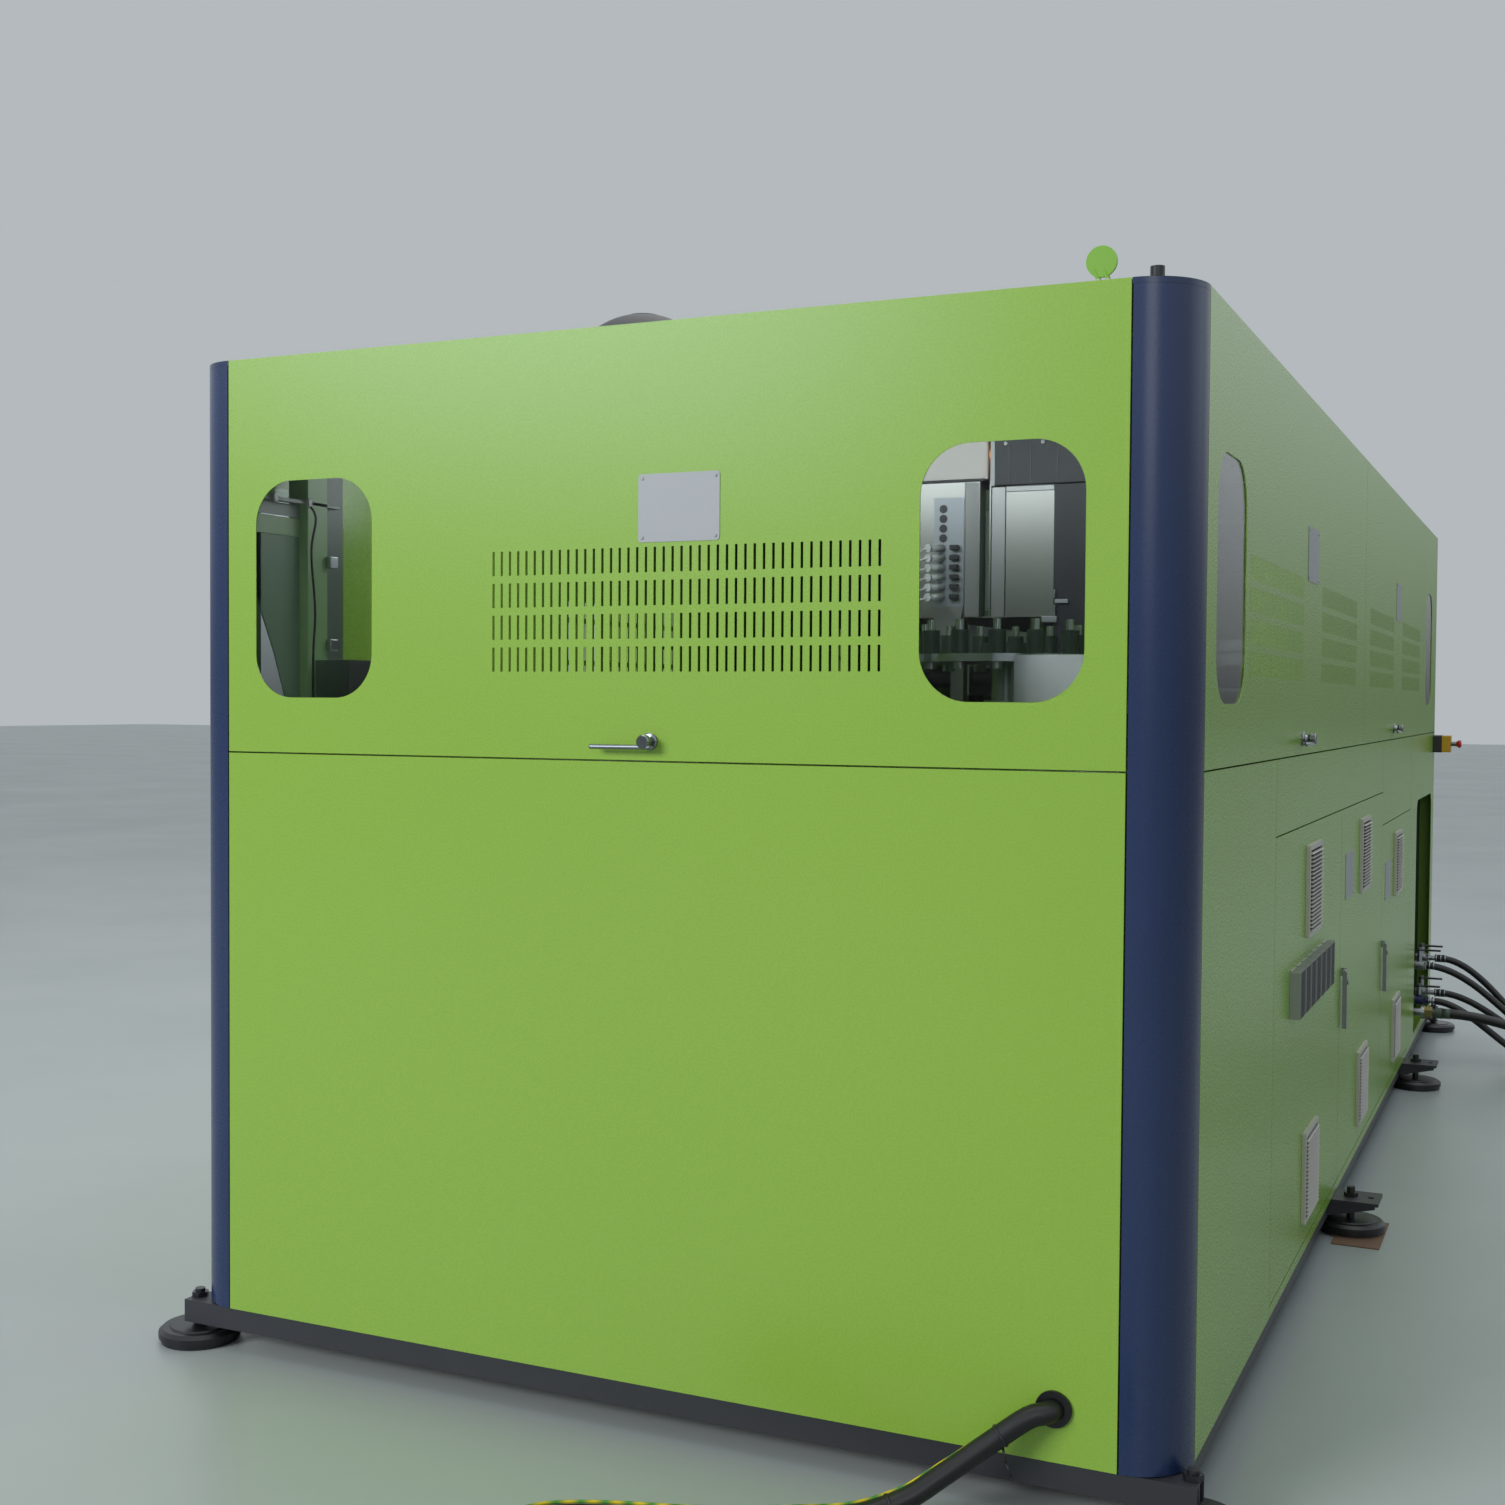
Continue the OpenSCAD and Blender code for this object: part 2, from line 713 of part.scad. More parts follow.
// Eight points of a ring about a point of a path.
function ring(p, t, r) =
    let (s = unit(cross(t, [0, 0, 1])), u = cross(s, t))
    [for (k = [0 : 7]) p + r * (cos(45 * k) * s + sin(45 * k) * u)];

// A solid round line along a path.
module line_tube(path, r) {
    n = len(path);
    rings = [for (i = [0 : n - 1]) ring(path[i], unit(path[min(i + 1, n - 1)] - path[max(i - 1, 0)]), r)];
    points = [for (g = rings) each g];
    walls = [
        for (i = [0 : n - 2])
            for (k = [0 : 7])
                each [
                    [8 * i + k, 8 * i + (k + 1) % 8, 8 * (i + 1) + k],
                    [8 * i + (k + 1) % 8, 8 * (i + 1) + (k + 1) % 8, 8 * (i + 1) + k]
                ]
    ];
    near_cap = [for (k = [1 : 6]) [0, k + 1, k]];
    far_cap = [for (k = [1 : 6]) [8 * (n - 1), 8 * (n - 1) + k, 8 * (n - 1) + k + 1]];
    polyhedron(points = points, faces = concat(walls, near_cap, far_cap));
}

// A hose leaves its nozzle level, spreads into its own plane, falls to the floor, follows the common bend
// and lies along the machine.
function ease(q) = let (p = max(0, min(1, q))) p * p * (3 - 2 * p);
function hose_z(h, s) = h[4] + (h[2] - h[4]) * (1 - ease(s / h[5]));
function hose_lane(h) = bend_x + h[3] - bend_y;
function hose_path(h) =
    let (
        run = bend_x - h[0],
        bend_r = h[3] - bend_y,
        arc = bend_r * PI / 2,
        lane = bend_y - h[6]
    )
    concat(
        [for (s = [0, 0.02, 0.25, 0.5, 0.75])
            [h[0] + run * s, h[1] + (h[3] - h[1]) * ease(run * s / spread_l), hose_z(h, run * s)]],
        [for (a = [0, 22.5, 45, 67.5, 90])
            [bend_x + bend_r * sin(a), bend_y + bend_r * cos(a), hose_z(h, run + arc * a / 90)]],
        [for (t = [0.06, 0.15, 0.35, 0.65, 1])
            [hose_lane(h) + 9 * sin(t * 360), bend_y - lane * t, hose_z(h, run + arc + lane * t)]]
    );

module hose(i) {
    line_tube(hose_path(hoses[i]), hoses[i][4]);
}

// An outward bracket of a middle foot on the right side.
module foot_bracket() {
    plate_t = 8;
    plate_l = 110;
    start = -side_beam_out + weld_gap;
    difference() {
        translate([start, -55, beam_top - plate_t]) cube([plate_l + side_beam_out - weld_gap, 110, plate_t]);
        translate([mid_foot_out, 0, 0]) cylinder(r = stud_r + 0.5, h = beam_top + 1);
        translate([mid_foot_out + 48, 0, 0]) cylinder(r = 8, h = beam_top + 1);
    }
    for (y = [-50, 44])
        translate([0, y, 0]) upright(0, 6)
            polygon([[start, beam_low + 2], [plate_l - 8, beam_top - plate_t - 8],
                [plate_l - 8, beam_top - plate_t + 1], [start, beam_top - plate_t + 1]]);
}

// A levelling foot: pad, stud, the nut under the steel and the nut on top of it.
module foot(base, steel_low, stud_top) {
    rotate_extrude() polygon([
        [0, base], [pad_r - 5, base], [pad_r - 5, base + 9], [pad_r, base + 10], [pad_r, base + 22],
        [pad_r - 8, base + 29], [pad_r - 22, base + 29], [pad_r - 24, base + 32], [0, base + 32]
    ]);
    translate([0, 0, base + 30]) cylinder(r = stud_r, h = stud_top - base - 30);
    translate([0, 0, steel_low - seat_gap - 7]) cylinder(r = 1.7 * stud_r, h = 7, $fn = 6);
    translate([0, 0, beam_top + seat_gap]) cylinder(r = 1.7 * stud_r, h = 9, $fn = 6);
}

module base_frame() color("#2c2d32") placed() {
    for (side = [0, 1])
        translate([0, side * body_l, 0]) mirror([0, side, 0]) difference() {
            translate([-half_w - beam_out, beam_in, beam_low])
                tube_run([body_w + 2 * beam_out, beam_w, beam_h], 0);
            for (s = [-1, 1])
                translate([s * corner_foot_x, corner_foot_y, beam_low - 1])
                    cylinder(r = stud_r + 0.5, h = beam_h + 2);
        }
    beam_start = beam_in + beam_w + weld_gap;
    for (x = [-side_beam_x - beam_w, side_beam_x])
        translate([x, beam_start, beam_low]) tube_run([beam_w, body_l - 2 * beam_start, beam_h], 1);
    for (y = mid_feet)
        translate([-side_beam_x + weld_gap, y - beam_w / 2, beam_low])
            tube_run([2 * (side_beam_x - weld_gap), beam_w, beam_h], 0);
    for (side = [0, 1])
        mirror([side, 0, 0])
            for (y = mid_feet)
                translate([half_w, y, 0]) foot_bracket();
}

module levelling_feet() color("#3a3b3e") placed() {
    for (s = [-1, 1])
        for (y = [corner_foot_y, body_l - corner_foot_y])
            translate([s * corner_foot_x, y, 0]) foot(0, beam_low, beam_top + 16);
    for (s = [-1, 1])
        for (i = [0, 1])
            translate([s * (half_w + mid_foot_out), mid_feet[i], 0])
                foot(s == 1 && i == 0 ? shim_t : 0, beam_top - 8, cab_low - seam);
    translate([half_w + 10, mid_foot_1 - 140, 0]) cube([mid_foot_out + pad_r - 10, 240, shim_t]);
}

module corner_posts() color("#20314a") placed() {
    post_h = body_h - roof_rim_h - seat_gap - skirt_z;
    lip = fixed_fold - 1;
    for (c = [[1, 0, -90], [1, 1, 0], [-1, 1, 90], [-1, 0, 180]])
        translate([c[0] * (half_w - post_r), c[1] == 0 ? post_r : body_l - post_r, skirt_z])
            rotate([0, 0, c[2]]) {
                rotate_extrude(angle = 90) translate([post_r - post_t, 0]) square([post_t, post_h]);
                translate([post_r - fixed_fold, 0, 0]) cube([lip, post_t, post_h]);
                translate([0, post_r - fixed_fold, 0]) cube([post_t, lip, post_h]);
            }
}

module cage_frame() color("#2e4a34") placed() {
    rail_z = cage_top - tube_s;
    mid_z = split_z - tube_s;
    ends = [cage_in, body_l - cage_in - tube_s];
    sides = [-cage_x - tube_s, cage_x];
    run_y = cage_in + tube_s + weld_gap;
    for (x = sides)
        for (y = ends)
            translate([x, y, cage_low]) tube_run([tube_s, tube_s, cage_top - cage_low], 2);
    for (z = [mid_z, rail_z]) {
        for (x = sides)
            translate([x, run_y, z]) tube_run([tube_s, body_l - 2 * run_y, tube_s], 1);
        for (y = ends)
            translate([-cage_x + weld_gap, y, z]) tube_run([2 * (cage_x - weld_gap), tube_s, tube_s], 0);
    }
    for (x = sides) {
        for (y = cab_low_mullions)
            translate([x, y - tube_s / 2, cage_low])
                tube_run([tube_s, tube_s, mid_z - weld_gap - cage_low], 2);
        for (y = high_mullions)
            translate([x, y - tube_s / 2, split_z + weld_gap])
                tube_run([tube_s, tube_s, rail_z - split_z - 2 * weld_gap], 2);
    }
    for (y = high_mullions)
        translate([-cage_x + weld_gap, y - tube_s / 2, rail_z])
            tube_run([2 * (cage_x - weld_gap), tube_s, tube_s], 0);
}

module roof_panel() color("#7fae4e") placed() {
    corner_s = corner_end - seam / 2;
    difference() {
        translate([0, body_l / 2, leaf_z]) linear_extrude(roof_t) rounded(body_w, body_l, post_r);
        translate([fan_x, fan_y, leaf_z - 1]) cylinder(r = throat_r + 1, h = roof_t + 2);
        translate([-half_w + corner_s, -1, leaf_z - 1])
            cube([body_w - 2 * corner_s, roof_in + 1, roof_t + 2]);
        translate([half_w - roof_in, corner_s, leaf_z - 1])
            cube([roof_in + 1, door_seam_2 - corner_s, roof_t + 2]);
    }
    translate([0, body_l / 2, body_h - roof_rim_h]) linear_extrude(roof_rim_h - 1) intersection() {
        difference() {
            rounded(body_w, body_l, post_r);
            rounded(body_w - 2 * sheet_t, body_l - 2 * sheet_t, post_r - sheet_t);
        }
        for (x = [-1, 1])
            for (y = [-1, 1])
                translate([x * (half_w - corner_s / 2), y * (body_l - corner_s) / 2])
                    square(corner_s, center = true);
    }
    translate([-front_w / 2, 0, 0]) roof_hinge(front_w);
    on_right(corner_end, 0) roof_hinge(door_1_l);
    on_right(door_2_y, 0) roof_hinge(door_2_l);
}

module roof_fan_housing() color("#232427") placed() {
    hood_low = body_h + 46;
    hood_top = body_h + fan_h;
    wall = 3;
    motor_r = 32;
    translate([fan_x, fan_y, 0]) {
        translate([0, 0, body_h + seat_gap]) difference() {
            cylinder(r = throat_r + 36, h = 5);
            translate([0, 0, -1]) cylinder(r = throat_r - wall, h = 7);
        }
        translate([0, 0, body_h - 30]) difference() {
            cylinder(r = throat_r, h = 78);
            translate([0, 0, -1]) cylinder(r = throat_r - wall, h = 80);
        }
        difference() {
            union() {
                translate([0, 0, hood_low - 8]) cylinder(r = fan_r, h = 20);
                translate([0, 0, hood_low + 12]) rotate_extrude() intersection() {
                    scale_arc(fan_r, hood_top - hood_low - 12);
                    square([fan_r, fan_h]);
                }
            }
            translate([0, 0, hood_low - 9]) cylinder(r = fan_r - wall, h = 20);
            translate([0, 0, hood_low + 10]) rotate_extrude() intersection() {
                scale_arc(fan_r - wall, hood_top - hood_low - 14);
                square([fan_r, fan_h]);
            }
        }
        difference() {
            translate([0, 0, body_h + 62]) cylinder(r = motor_r, h = fan_h - 64);
            translate([0, 0, body_h + 60]) cylinder(r = shaft_r + run_gap, h = 32);
        }
        for (a = [45 : 90 : 315])
            rotate([0, 0, a]) translate([throat_r - 4, -8, body_h + 40]) cube([fan_r - throat_r + 2, 16, 4]);
    }
}

// The meridian of the hood: a circle that passes the rim and the top.
module scale_arc(r, h) {
    big = (r * r + h * h) / (2 * h);
    translate([0, h - big]) circle(big, $fn = 96);
}

module roof_fan_impeller() color("#9aa0a6") placed() {
    translate([fan_x, fan_y, 0]) {
        translate([0, 0, body_h + 14]) cylinder(r = 30, h = 46);
        translate([0, 0, body_h + 50]) cylinder(r = shaft_r, h = 38);
        for (i = [0 : blade_n - 1])
            rotate([0, 0, i * 360 / blade_n]) translate([24, 0, body_h + 36]) rotate([32, 0, 0])
                translate([0, -26, -1.5]) cube([throat_r - 34, 52, 3]);
    }
}

module roof_fittings() color("#8d9296") placed() {
    base_t = 3;
    leg_l = 2.15 * disc_r;
    knob_h = 17;
    stem_h = 34;
    translate([half_w - disc_in, disc_y, body_h + 2.5 * disc_r]) rotate([90, 0, 0])
        cylinder(r = disc_r, h = 6);
    for (s = [0, 1])
        translate([half_w - disc_in + 10 + 16 * s, disc_y - 3, body_h + base_t - 1]) rotate([0, -24, 0])
            cylinder(r = 4, h = leg_l - 4 * s);
    translate([half_w - disc_in - 12, disc_y - 17, body_h + seat_gap]) cube([70, 30, base_t]);
    translate([half_w - knob_in, knob_y, body_h + seat_gap]) {
        cylinder(r = 16, h = base_t + 1);
        cylinder(r = 6, h = base_t + stem_h);
        translate([0, 0, base_t + stem_h - 1]) cylinder(r = 12, h = knob_h);
    }
}

module front_door() color("#9ab57c") placed() {
    difference() {
        translate([-front_w / 2, 0, high_low]) pan(front_w, door_h, door_fold);
        for (s = [-1, 1])
            translate([s * front_window_x, 0, 0]) window_hole(window_z);
        translate([front_slots_x, 0, 0]) slot_block(front_slots, slots_top);
        shaft_hole(front_handle_x, handle_z);
    }
    translate([-front_w / 2, 0, 0]) door_hinge(front_w);
}

module front_door_panes() color("#b8c4c4") placed() {
    for (s = [-1, 1])
        translate([s * front_window_x, 0, 0]) pane(window_z);
}

module front_handle() color("#c9ccd0") placed() {
    translate([front_handle_x, 0, handle_z]) lever_handle();
}

module front_lower_panel() color("#7fae4e") placed() {
    difference() {
        translate([-front_w / 2, 0, skirt_z]) pan(front_w, low_h, fixed_fold);
        translate([gland_x, 0, gland_z]) upright(-1, sheet_t + 2) circle(gland_r - 4);
    }
}

module cable_gland() color("#1f2022") placed() {
    translate([gland_x, 0, gland_z]) difference() {
        union() {
            upright(-5 - seat_gap, 5) circle(gland_r);
            upright(-1, sheet_t + 5) circle(gland_r - 4 - seat_gap);
            upright(sheet_t + seat_gap, 5) circle(gland_r);
        }
        upright(-7, 20) circle(conduit_r + 0.5);
    }
}

module rear_upper_panel() color("#7fae4e") placed() {
    difference() {
        on_rear(front_w / 2, high_low) pan(front_w, high_h, fixed_fold);
        on_rear(0, 0) slot_block(front_slots, slots_top);
    }
}

module rear_lower_panel() color("#7fae4e") placed() {
    on_rear(front_w / 2, skirt_z) pan(front_w, low_h, fixed_fold);
}

module right_door_1() color("#7fae4e") placed() {
    difference() {
        on_right(corner_end, high_low) pan(door_1_l, door_h, door_fold);
        on_right(side_window_y, 0) window_hole(window_z);
        on_right(slots_1_y, 0) slot_block(side_slots, slots_top);
        on_right(slots_2_y, 0) slot_block(side_slots, slots_top);
        on_right(0, 0) shaft_hole(handle_1_y, handle_z);
    }
    on_right(corner_end, 0) door_hinge(door_1_l);
}

module right_door_1_pane() color("#b8c4c4") placed() {
    on_right(side_window_y, 0) pane(window_z);
}

module right_handle_1() color("#c9ccd0") placed() {
    on_right(handle_1_y, handle_z) lever_handle();
}

module right_door_2() color("#7fae4e") placed() {
    difference() {
        on_right(door_2_y, high_low) pan(door_2_l, door_h, door_fold);
        on_right(slots_3_y, 0) slot_block(side_slots, slots_top);
        on_right(slots_4_y, 0) slot_block(side_slots, slots_top);
        on_right(0, 0) shaft_hole(handle_2_y, handle_z);
    }
    on_right(door_2_y, 0) door_hinge(door_2_l);
}

module right_handle_2() color("#c9ccd0") placed() {
    on_right(handle_2_y, handle_z) lever_handle();
}

module right_end_panel() color("#7fae4e") placed() {
    difference() {
        on_right(end_y, high_low) pan(end_l, high_h, fixed_fold);
        on_right(body_l - end_window_y, 0) window_hole(window_z);
    }
}

module right_end_pane() color("#b8c4c4") placed() {
    on_right(body_l - end_window_y, 0) pane(window_z);
}

module right_near_panel() color("#7fae4e") placed() {
    on_right(corner_end, skirt_z) pan(cab_seam_1 - seam / 2 - corner_end, low_h, fixed_fold);
}

module right_door_frame() color("#7fae4e") placed() {
    pin_l = sheet_t + seam + sheet_t + 4;
    sill_h = cab_low - seam - skirt_z;
    start = cab_seam_1 + seam / 2;
    last = cab_seam_4 - seam / 2;
    strip_w = 18;
    hinge_a = start + pivot_in;
    hinge_b = cab_seam_3 - seam / 2 - pivot_in;
    hinge_c = last - pivot_in;
    on_right(start, cab_top_a + seam)
        pan(cab_seam_3 - cab_seam_1 - seam, low_top - cab_top_a - seam, fixed_fold);
    on_right(cab_seam_3 + seam / 2, cab_top_b + seam)
        pan(cab_seam_4 - cab_seam_3 - seam, low_top - cab_top_b - seam, fixed_fold);
    on_right(start, skirt_z) pan(cab_seam_4 - cab_seam_1 - seam, sill_h, fixed_fold);
    for (m = [[start, strip_w], [cab_seam_3 - strip_w, 2 * strip_w], [last - strip_w, strip_w]])
        translate([half_w - fixed_fold, m[0], cab_low])
            cube([strip_w, m[1], cab_top_b - cab_low]);
    for (p = [[hinge_a, cab_top_a], [hinge_b, cab_top_a], [hinge_c, cab_top_b]])
        translate([half_w - pivot_depth, p[0], 0]) {
            translate([0, 0, p[1] + seam + sheet_t - pin_l]) cylinder(r = pivot_r, h = pin_l);
            translate([0, 0, cab_low - seam - sheet_t]) cylinder(r = pivot_r, h = pin_l);
        }
}

module right_outlet_panel() color("#7fae4e") placed() {
    start = cab_seam_4 + seam / 2;
    hole_y = body_l - outlet_end - outlet_w / 2;
    hole_h = outlet_top - outlet_low;
    difference() {
        on_right(start, skirt_z) pan(body_l - corner_end - start, low_h, fixed_fold);
        on_right(hole_y, outlet_low) {
            upright(-1, sheet_t + 2) translate([-outlet_w / 2, 0]) square([outlet_w, hole_h - outlet_r]);
            upright(-1, sheet_t + 2) translate([0, hole_h / 2]) rounded(outlet_w, hole_h, outlet_r);
        }
    }
}

module cabinet_door_1() color("#7fae4e") placed() {
    l = cab_seam_2 - cab_seam_1 - seam;
    on_right(cab_seam_1 + seam / 2, cab_low) cabinet_leaf(l, cab_top_a - cab_low, pivot_in);
}

module cabinet_door_2() color("#7fae4e") placed() {
    l = cab_seam_3 - cab_seam_2 - seam;
    on_right(cab_seam_2 + seam / 2, cab_low) cabinet_leaf(l, cab_top_a - cab_low, l - pivot_in);
    on_right(0, 0) swing_ears(swing_y_2, swing_z_2);
}

module cabinet_door_3() color("#7fae4e") placed() {
    l = cab_seam_4 - cab_seam_3 - seam;
    on_right(cab_seam_3 + seam / 2, cab_low) cabinet_leaf(l, cab_top_b - cab_low, l - pivot_in);
    on_right(0, 0) swing_ears(swing_y_3, swing_z_3);
}

// The two louvres of a cabinet door.
module louvre_pair(y, top) {
    for (z = [louvre_low + louvre_s / 2, top - louvre_drop - louvre_s / 2])
        on_right(y, z) louvre();
}

module louvres_door_1() color("#c9c6bb") placed() {
    louvre_pair(louvre_y_1, cab_top_a);
}

module louvres_door_2() color("#c9c6bb") placed() {
    louvre_pair(louvre_y_2, cab_top_a);
}

module louvres_door_3() color("#c9c6bb") placed() {
    louvre_pair(louvre_y_3, cab_top_b);
}

module heat_sinks() color("#8f9296") placed() {
    for (i = [0 : sink_n - 1])
        on_right(sink_y + i * sink_pitch, sink_z) heat_sink();
}

module swing_handle_2() color("#c4c6c8") placed() {
    on_right(swing_y_2, swing_z_2) translate([0, -8, 0]) swing_lever();
}

module swing_handle_3() color("#c4c6c8") placed() {
    on_right(swing_y_3, swing_z_3) translate([0, -8, 0]) swing_lever();
}

module estop_box() color("#e3bd1c") placed() {
    bore_d = estop_grip + estop_travel + 1;
    on_right(body_l - estop_y, estop_z) difference() {
        union() {
            upright(-estop_base_d, estop_base_d - seat_gap) rounded(estop_s, estop_s, 6);
            upright(-estop_cover_d, estop_cover_d - estop_base_d + 1) rounded(estop_s - 2, estop_s - 2, 5);
        }
        upright(-estop_cover_d - 1, bore_d + 1) circle(estop_stem_r + run_gap);
    }
}

module estop_button() color("#c22a22") placed() {
    stem_l = estop_head_d - estop_cover_d + estop_grip;
    on_right(body_l - estop_y, estop_z) {
        upright(-estop_head_d - 1, stem_l + 1) circle(estop_stem_r);
        translate([0, -estop_head_d, 0]) rotate([90, 0, 0]) rotate_extrude()
            polygon([[0, 0], [estop_stem_r + 1, 0], [15, 9], [16, 11], [16, 14], [13, 17.5], [7, 19],
                [0, 19.5]]);
    }
}

module valve_manifold() color("#9a9689") placed() {
    plate_t = 10;
    plate_l = valve_near - valve_far + 200;
    plate_h = 362;
    pipe_r = hose_r - 3.5;
    nut_r = hose_r + 2.5;
    nut_h = 10;
    ball_r = nut_r + 2;
    ball_l = 30;
    lever_t = 6;
    main_r = main_hose_r - 3.5;
    translate([half_w - cage_in - plate_t, body_l - valve_near - 140, beam_top + seat_gap])
        cube([plate_t, plate_l, plate_h]);
    for (v = valves)
        translate([half_w, body_l - v[0], v[1]]) {
            translate([-cage_in - 1, 0, 0]) rotate([0, 90, 0])
                cylinder(r = pipe_r, h = cage_in + 1 + v[3] - seat_gap);
            for (x = [-ball_l / 2 - nut_h + 1, ball_l / 2 - 1])
                translate([stem_out + x, 0, 0]) rotate([0, 90, 0]) cylinder(r = nut_r, h = nut_h, $fn = 6);
            translate([stem_out - ball_l / 2, 0, 0]) rotate([0, 90, 0]) cylinder(r = ball_r, h = ball_l);
            translate([stem_out, 0, 0]) {
                cylinder(r = stem_r + 3, h = v[2] - v[1] - seat_gap);
                cylinder(r = stem_r, h = v[2] - v[1] + lever_t + 3);
                translate([0, 0, v[2] - v[1] + lever_t + seat_gap]) cylinder(r = stem_r + 3, h = 5, $fn = 6);
            }
        }
    translate([half_w, body_l - main_port[0], main_port[1]]) rotate([0, 90, 0]) {
        translate([0, 0, -cage_in - 1]) cylinder(r = main_r, h = cage_in + 1 + main_port[2] - seat_gap);
        translate([0, 0, 20]) cylinder(r = main_r + 11, h = 12);
        translate([0, 0, 31]) cylinder(r = main_r + 8, h = 27, $fn = 6);
        translate([0, 0, 70]) cylinder(r = main_r + 6, h = 22);
    }
}

module valve_lever_1() color("#26272a") placed() valve_lever(0);
module valve_lever_2() color("#26272a") placed() valve_lever(1);
module valve_lever_3() color("#26272a") placed() valve_lever(2);
module valve_lever_4() color("#26272a") placed() valve_lever(3);

module left_upper_panel() color("#7fae4e") placed() {
    difference() {
        on_left(body_l - corner_end, high_low) pan(side_l, high_h, fixed_fold);
        on_left(side_window_y, 0) window_hole(window_z);
        for (y = [slots_2_y, slots_4_y])
            on_left(y, 0) slot_block(side_slots, slots_top);
    }
}

module left_pane() color("#b8c4c4") placed() {
    on_left(side_window_y, 0) pane(window_z);
}

module left_lower_panel() color("#7fae4e") placed() {
    on_left(body_l - corner_end, skirt_z) pan(side_l, low_h, fixed_fold);
}

// A sheet cover on the deck, open below.
module deck_cover(x, y, w, l, h) {
    cover_t = 4;
    translate([x, y, deck_top + seat_gap]) difference() {
        cube([w, l, h - seat_gap]);
        translate([cover_t, cover_t, -1])
            cube([w - 2 * cover_t, l - 2 * cover_t, h - seat_gap - cover_t + 1]);
    }
}

module deck() color("#a9adb0") placed() {
    edge = cage_in + 1;
    start = cage_in + tube_s + notch_gap;
    chute_r = 120;
    difference() {
        translate([-half_w + edge, start, deck_z]) cube([body_w - 2 * edge, body_l - 2 * start, deck_t]);
        for (y = high_mullions)
            for (s = [-1, 1])
                translate([s * (cage_x + tube_s) - tube_s - notch_gap, y - tube_s / 2 - notch_gap,
                    deck_z - 1])
                    cube([2 * (tube_s + notch_gap), tube_s + 2 * notch_gap, deck_t + 2]);
        translate([wheel_x, wheel_y, deck_z - 1]) cylinder(r = wheel_shaft_r + run_gap, h = deck_t + 2);
        translate([0, clamp_y + clamp_l / 2, deck_z - 1]) cylinder(r = chute_r, h = deck_t + 2);
    }
    translate([wheel_x, wheel_y, deck_top + seat_gap]) difference() {
        union() {
            cylinder(r = 2 * wheel_shaft_r, h = boss_h - seat_gap);
            cylinder(r = 2.8 * wheel_shaft_r, h = deck_t);
        }
        translate([0, 0, -1]) cylinder(r = wheel_shaft_r + run_gap, h = boss_h + 2);
    }
    deck_cover(half_w - cover_w - 120, 250, cover_w, cover_l, cover_h);
    deck_cover(-half_w + small_cover_in, 250, small_cover_s, small_cover_s, small_cover_h);
}

module oven_boxes() color("#b4b8ba") placed() {
    wall = 3;
    leg_s = 30;
    leg_in = 60;
    slot_x = oven_a_x + oven_a_w;
    strip_l = oven_l - 40;
    strip_y = oven_y + 20;
    for (b = [[oven_a_x, oven_a_w], [oven_b_x, oven_b_w]]) {
        translate([b[0], oven_y, oven_z]) difference() {
            cube([b[1], oven_l, oven_h]);
            translate([wall, wall, wall]) cube([b[1] - 2 * wall, oven_l - 2 * wall, oven_h - 2 * wall]);
        }
        for (y = [leg_in, oven_l - leg_in - leg_s])
            translate([b[0] + (b[1] - leg_s) / 2, oven_y + y, deck_top + seat_gap])
                cube([leg_s, leg_s, oven_z - deck_top - seat_gap - weld_gap]);
    }
    translate([slot_x + weld_gap, strip_y, oven_z])
        cube([oven_b_x - slot_x - 2 * weld_gap, strip_l, wall + 1]);
    translate([slot_x + 16, strip_y, oven_z + wall + 1 + weld_gap])
        cube([wall, strip_l, oven_h - wall - 1 - weld_gap]);
    translate([oven_a_x + 35, oven_y - connector_t, oven_z + 25]) difference() {
        cube([connector_w, connector_t - weld_gap, connector_h]);
        for (i = [0 : 3])
            translate([22, -1, connector_h - 25 - i * socket_pitch]) rotate([-90, 0, 0])
                cylinder(r = socket_r, h = 6);
    }
}

module feed_wheel() color("#c3c6c8") placed() {
    plate_z = deck_top + wheel_up;
    hub_r = 52;
    hub_h = 26;
    window_circle = 0.52 * wheel_r;
    tail_h = 14;
    mandrel_r = 17;
    tip_r = 8;
    translate([wheel_x, wheel_y, 0]) {
        translate([0, 0, deck_z + 2]) cylinder(r = wheel_shaft_r, h = plate_z - deck_z);
        translate([0, 0, deck_top + boss_h + seat_gap]) cylinder(r = 1.5 * wheel_shaft_r, h = 20);
        translate([0, 0, plate_z]) difference() {
            cylinder(r = wheel_r, h = wheel_t, $fn = 96);
            for (i = [0 : 5])
                rotate([0, 0, 60 * i + 30]) translate([window_circle, 0, -1])
                    cylinder(r = 2 * mandrel_r, h = wheel_t + 2);
        }
        translate([0, 0, plate_z + wheel_t - 1]) cylinder(r = hub_r, h = hub_h);
        for (i = [0 : mandrel_n - 1])
            rotate([0, 0, (i + 0.5) * 360 / mandrel_n]) translate([mandrel_circle, 0, plate_z]) {
                translate([0, 0, -tail_h]) cylinder(r = mandrel_r - 4, h = tail_h + 1);
                translate([0, 0, wheel_t - 1]) cylinder(r = mandrel_r, h = socket_h + 1);
                translate([0, 0, wheel_t + socket_h - 1]) cylinder(r = tip_r, h = tip_h + 1);
            }
    }
}

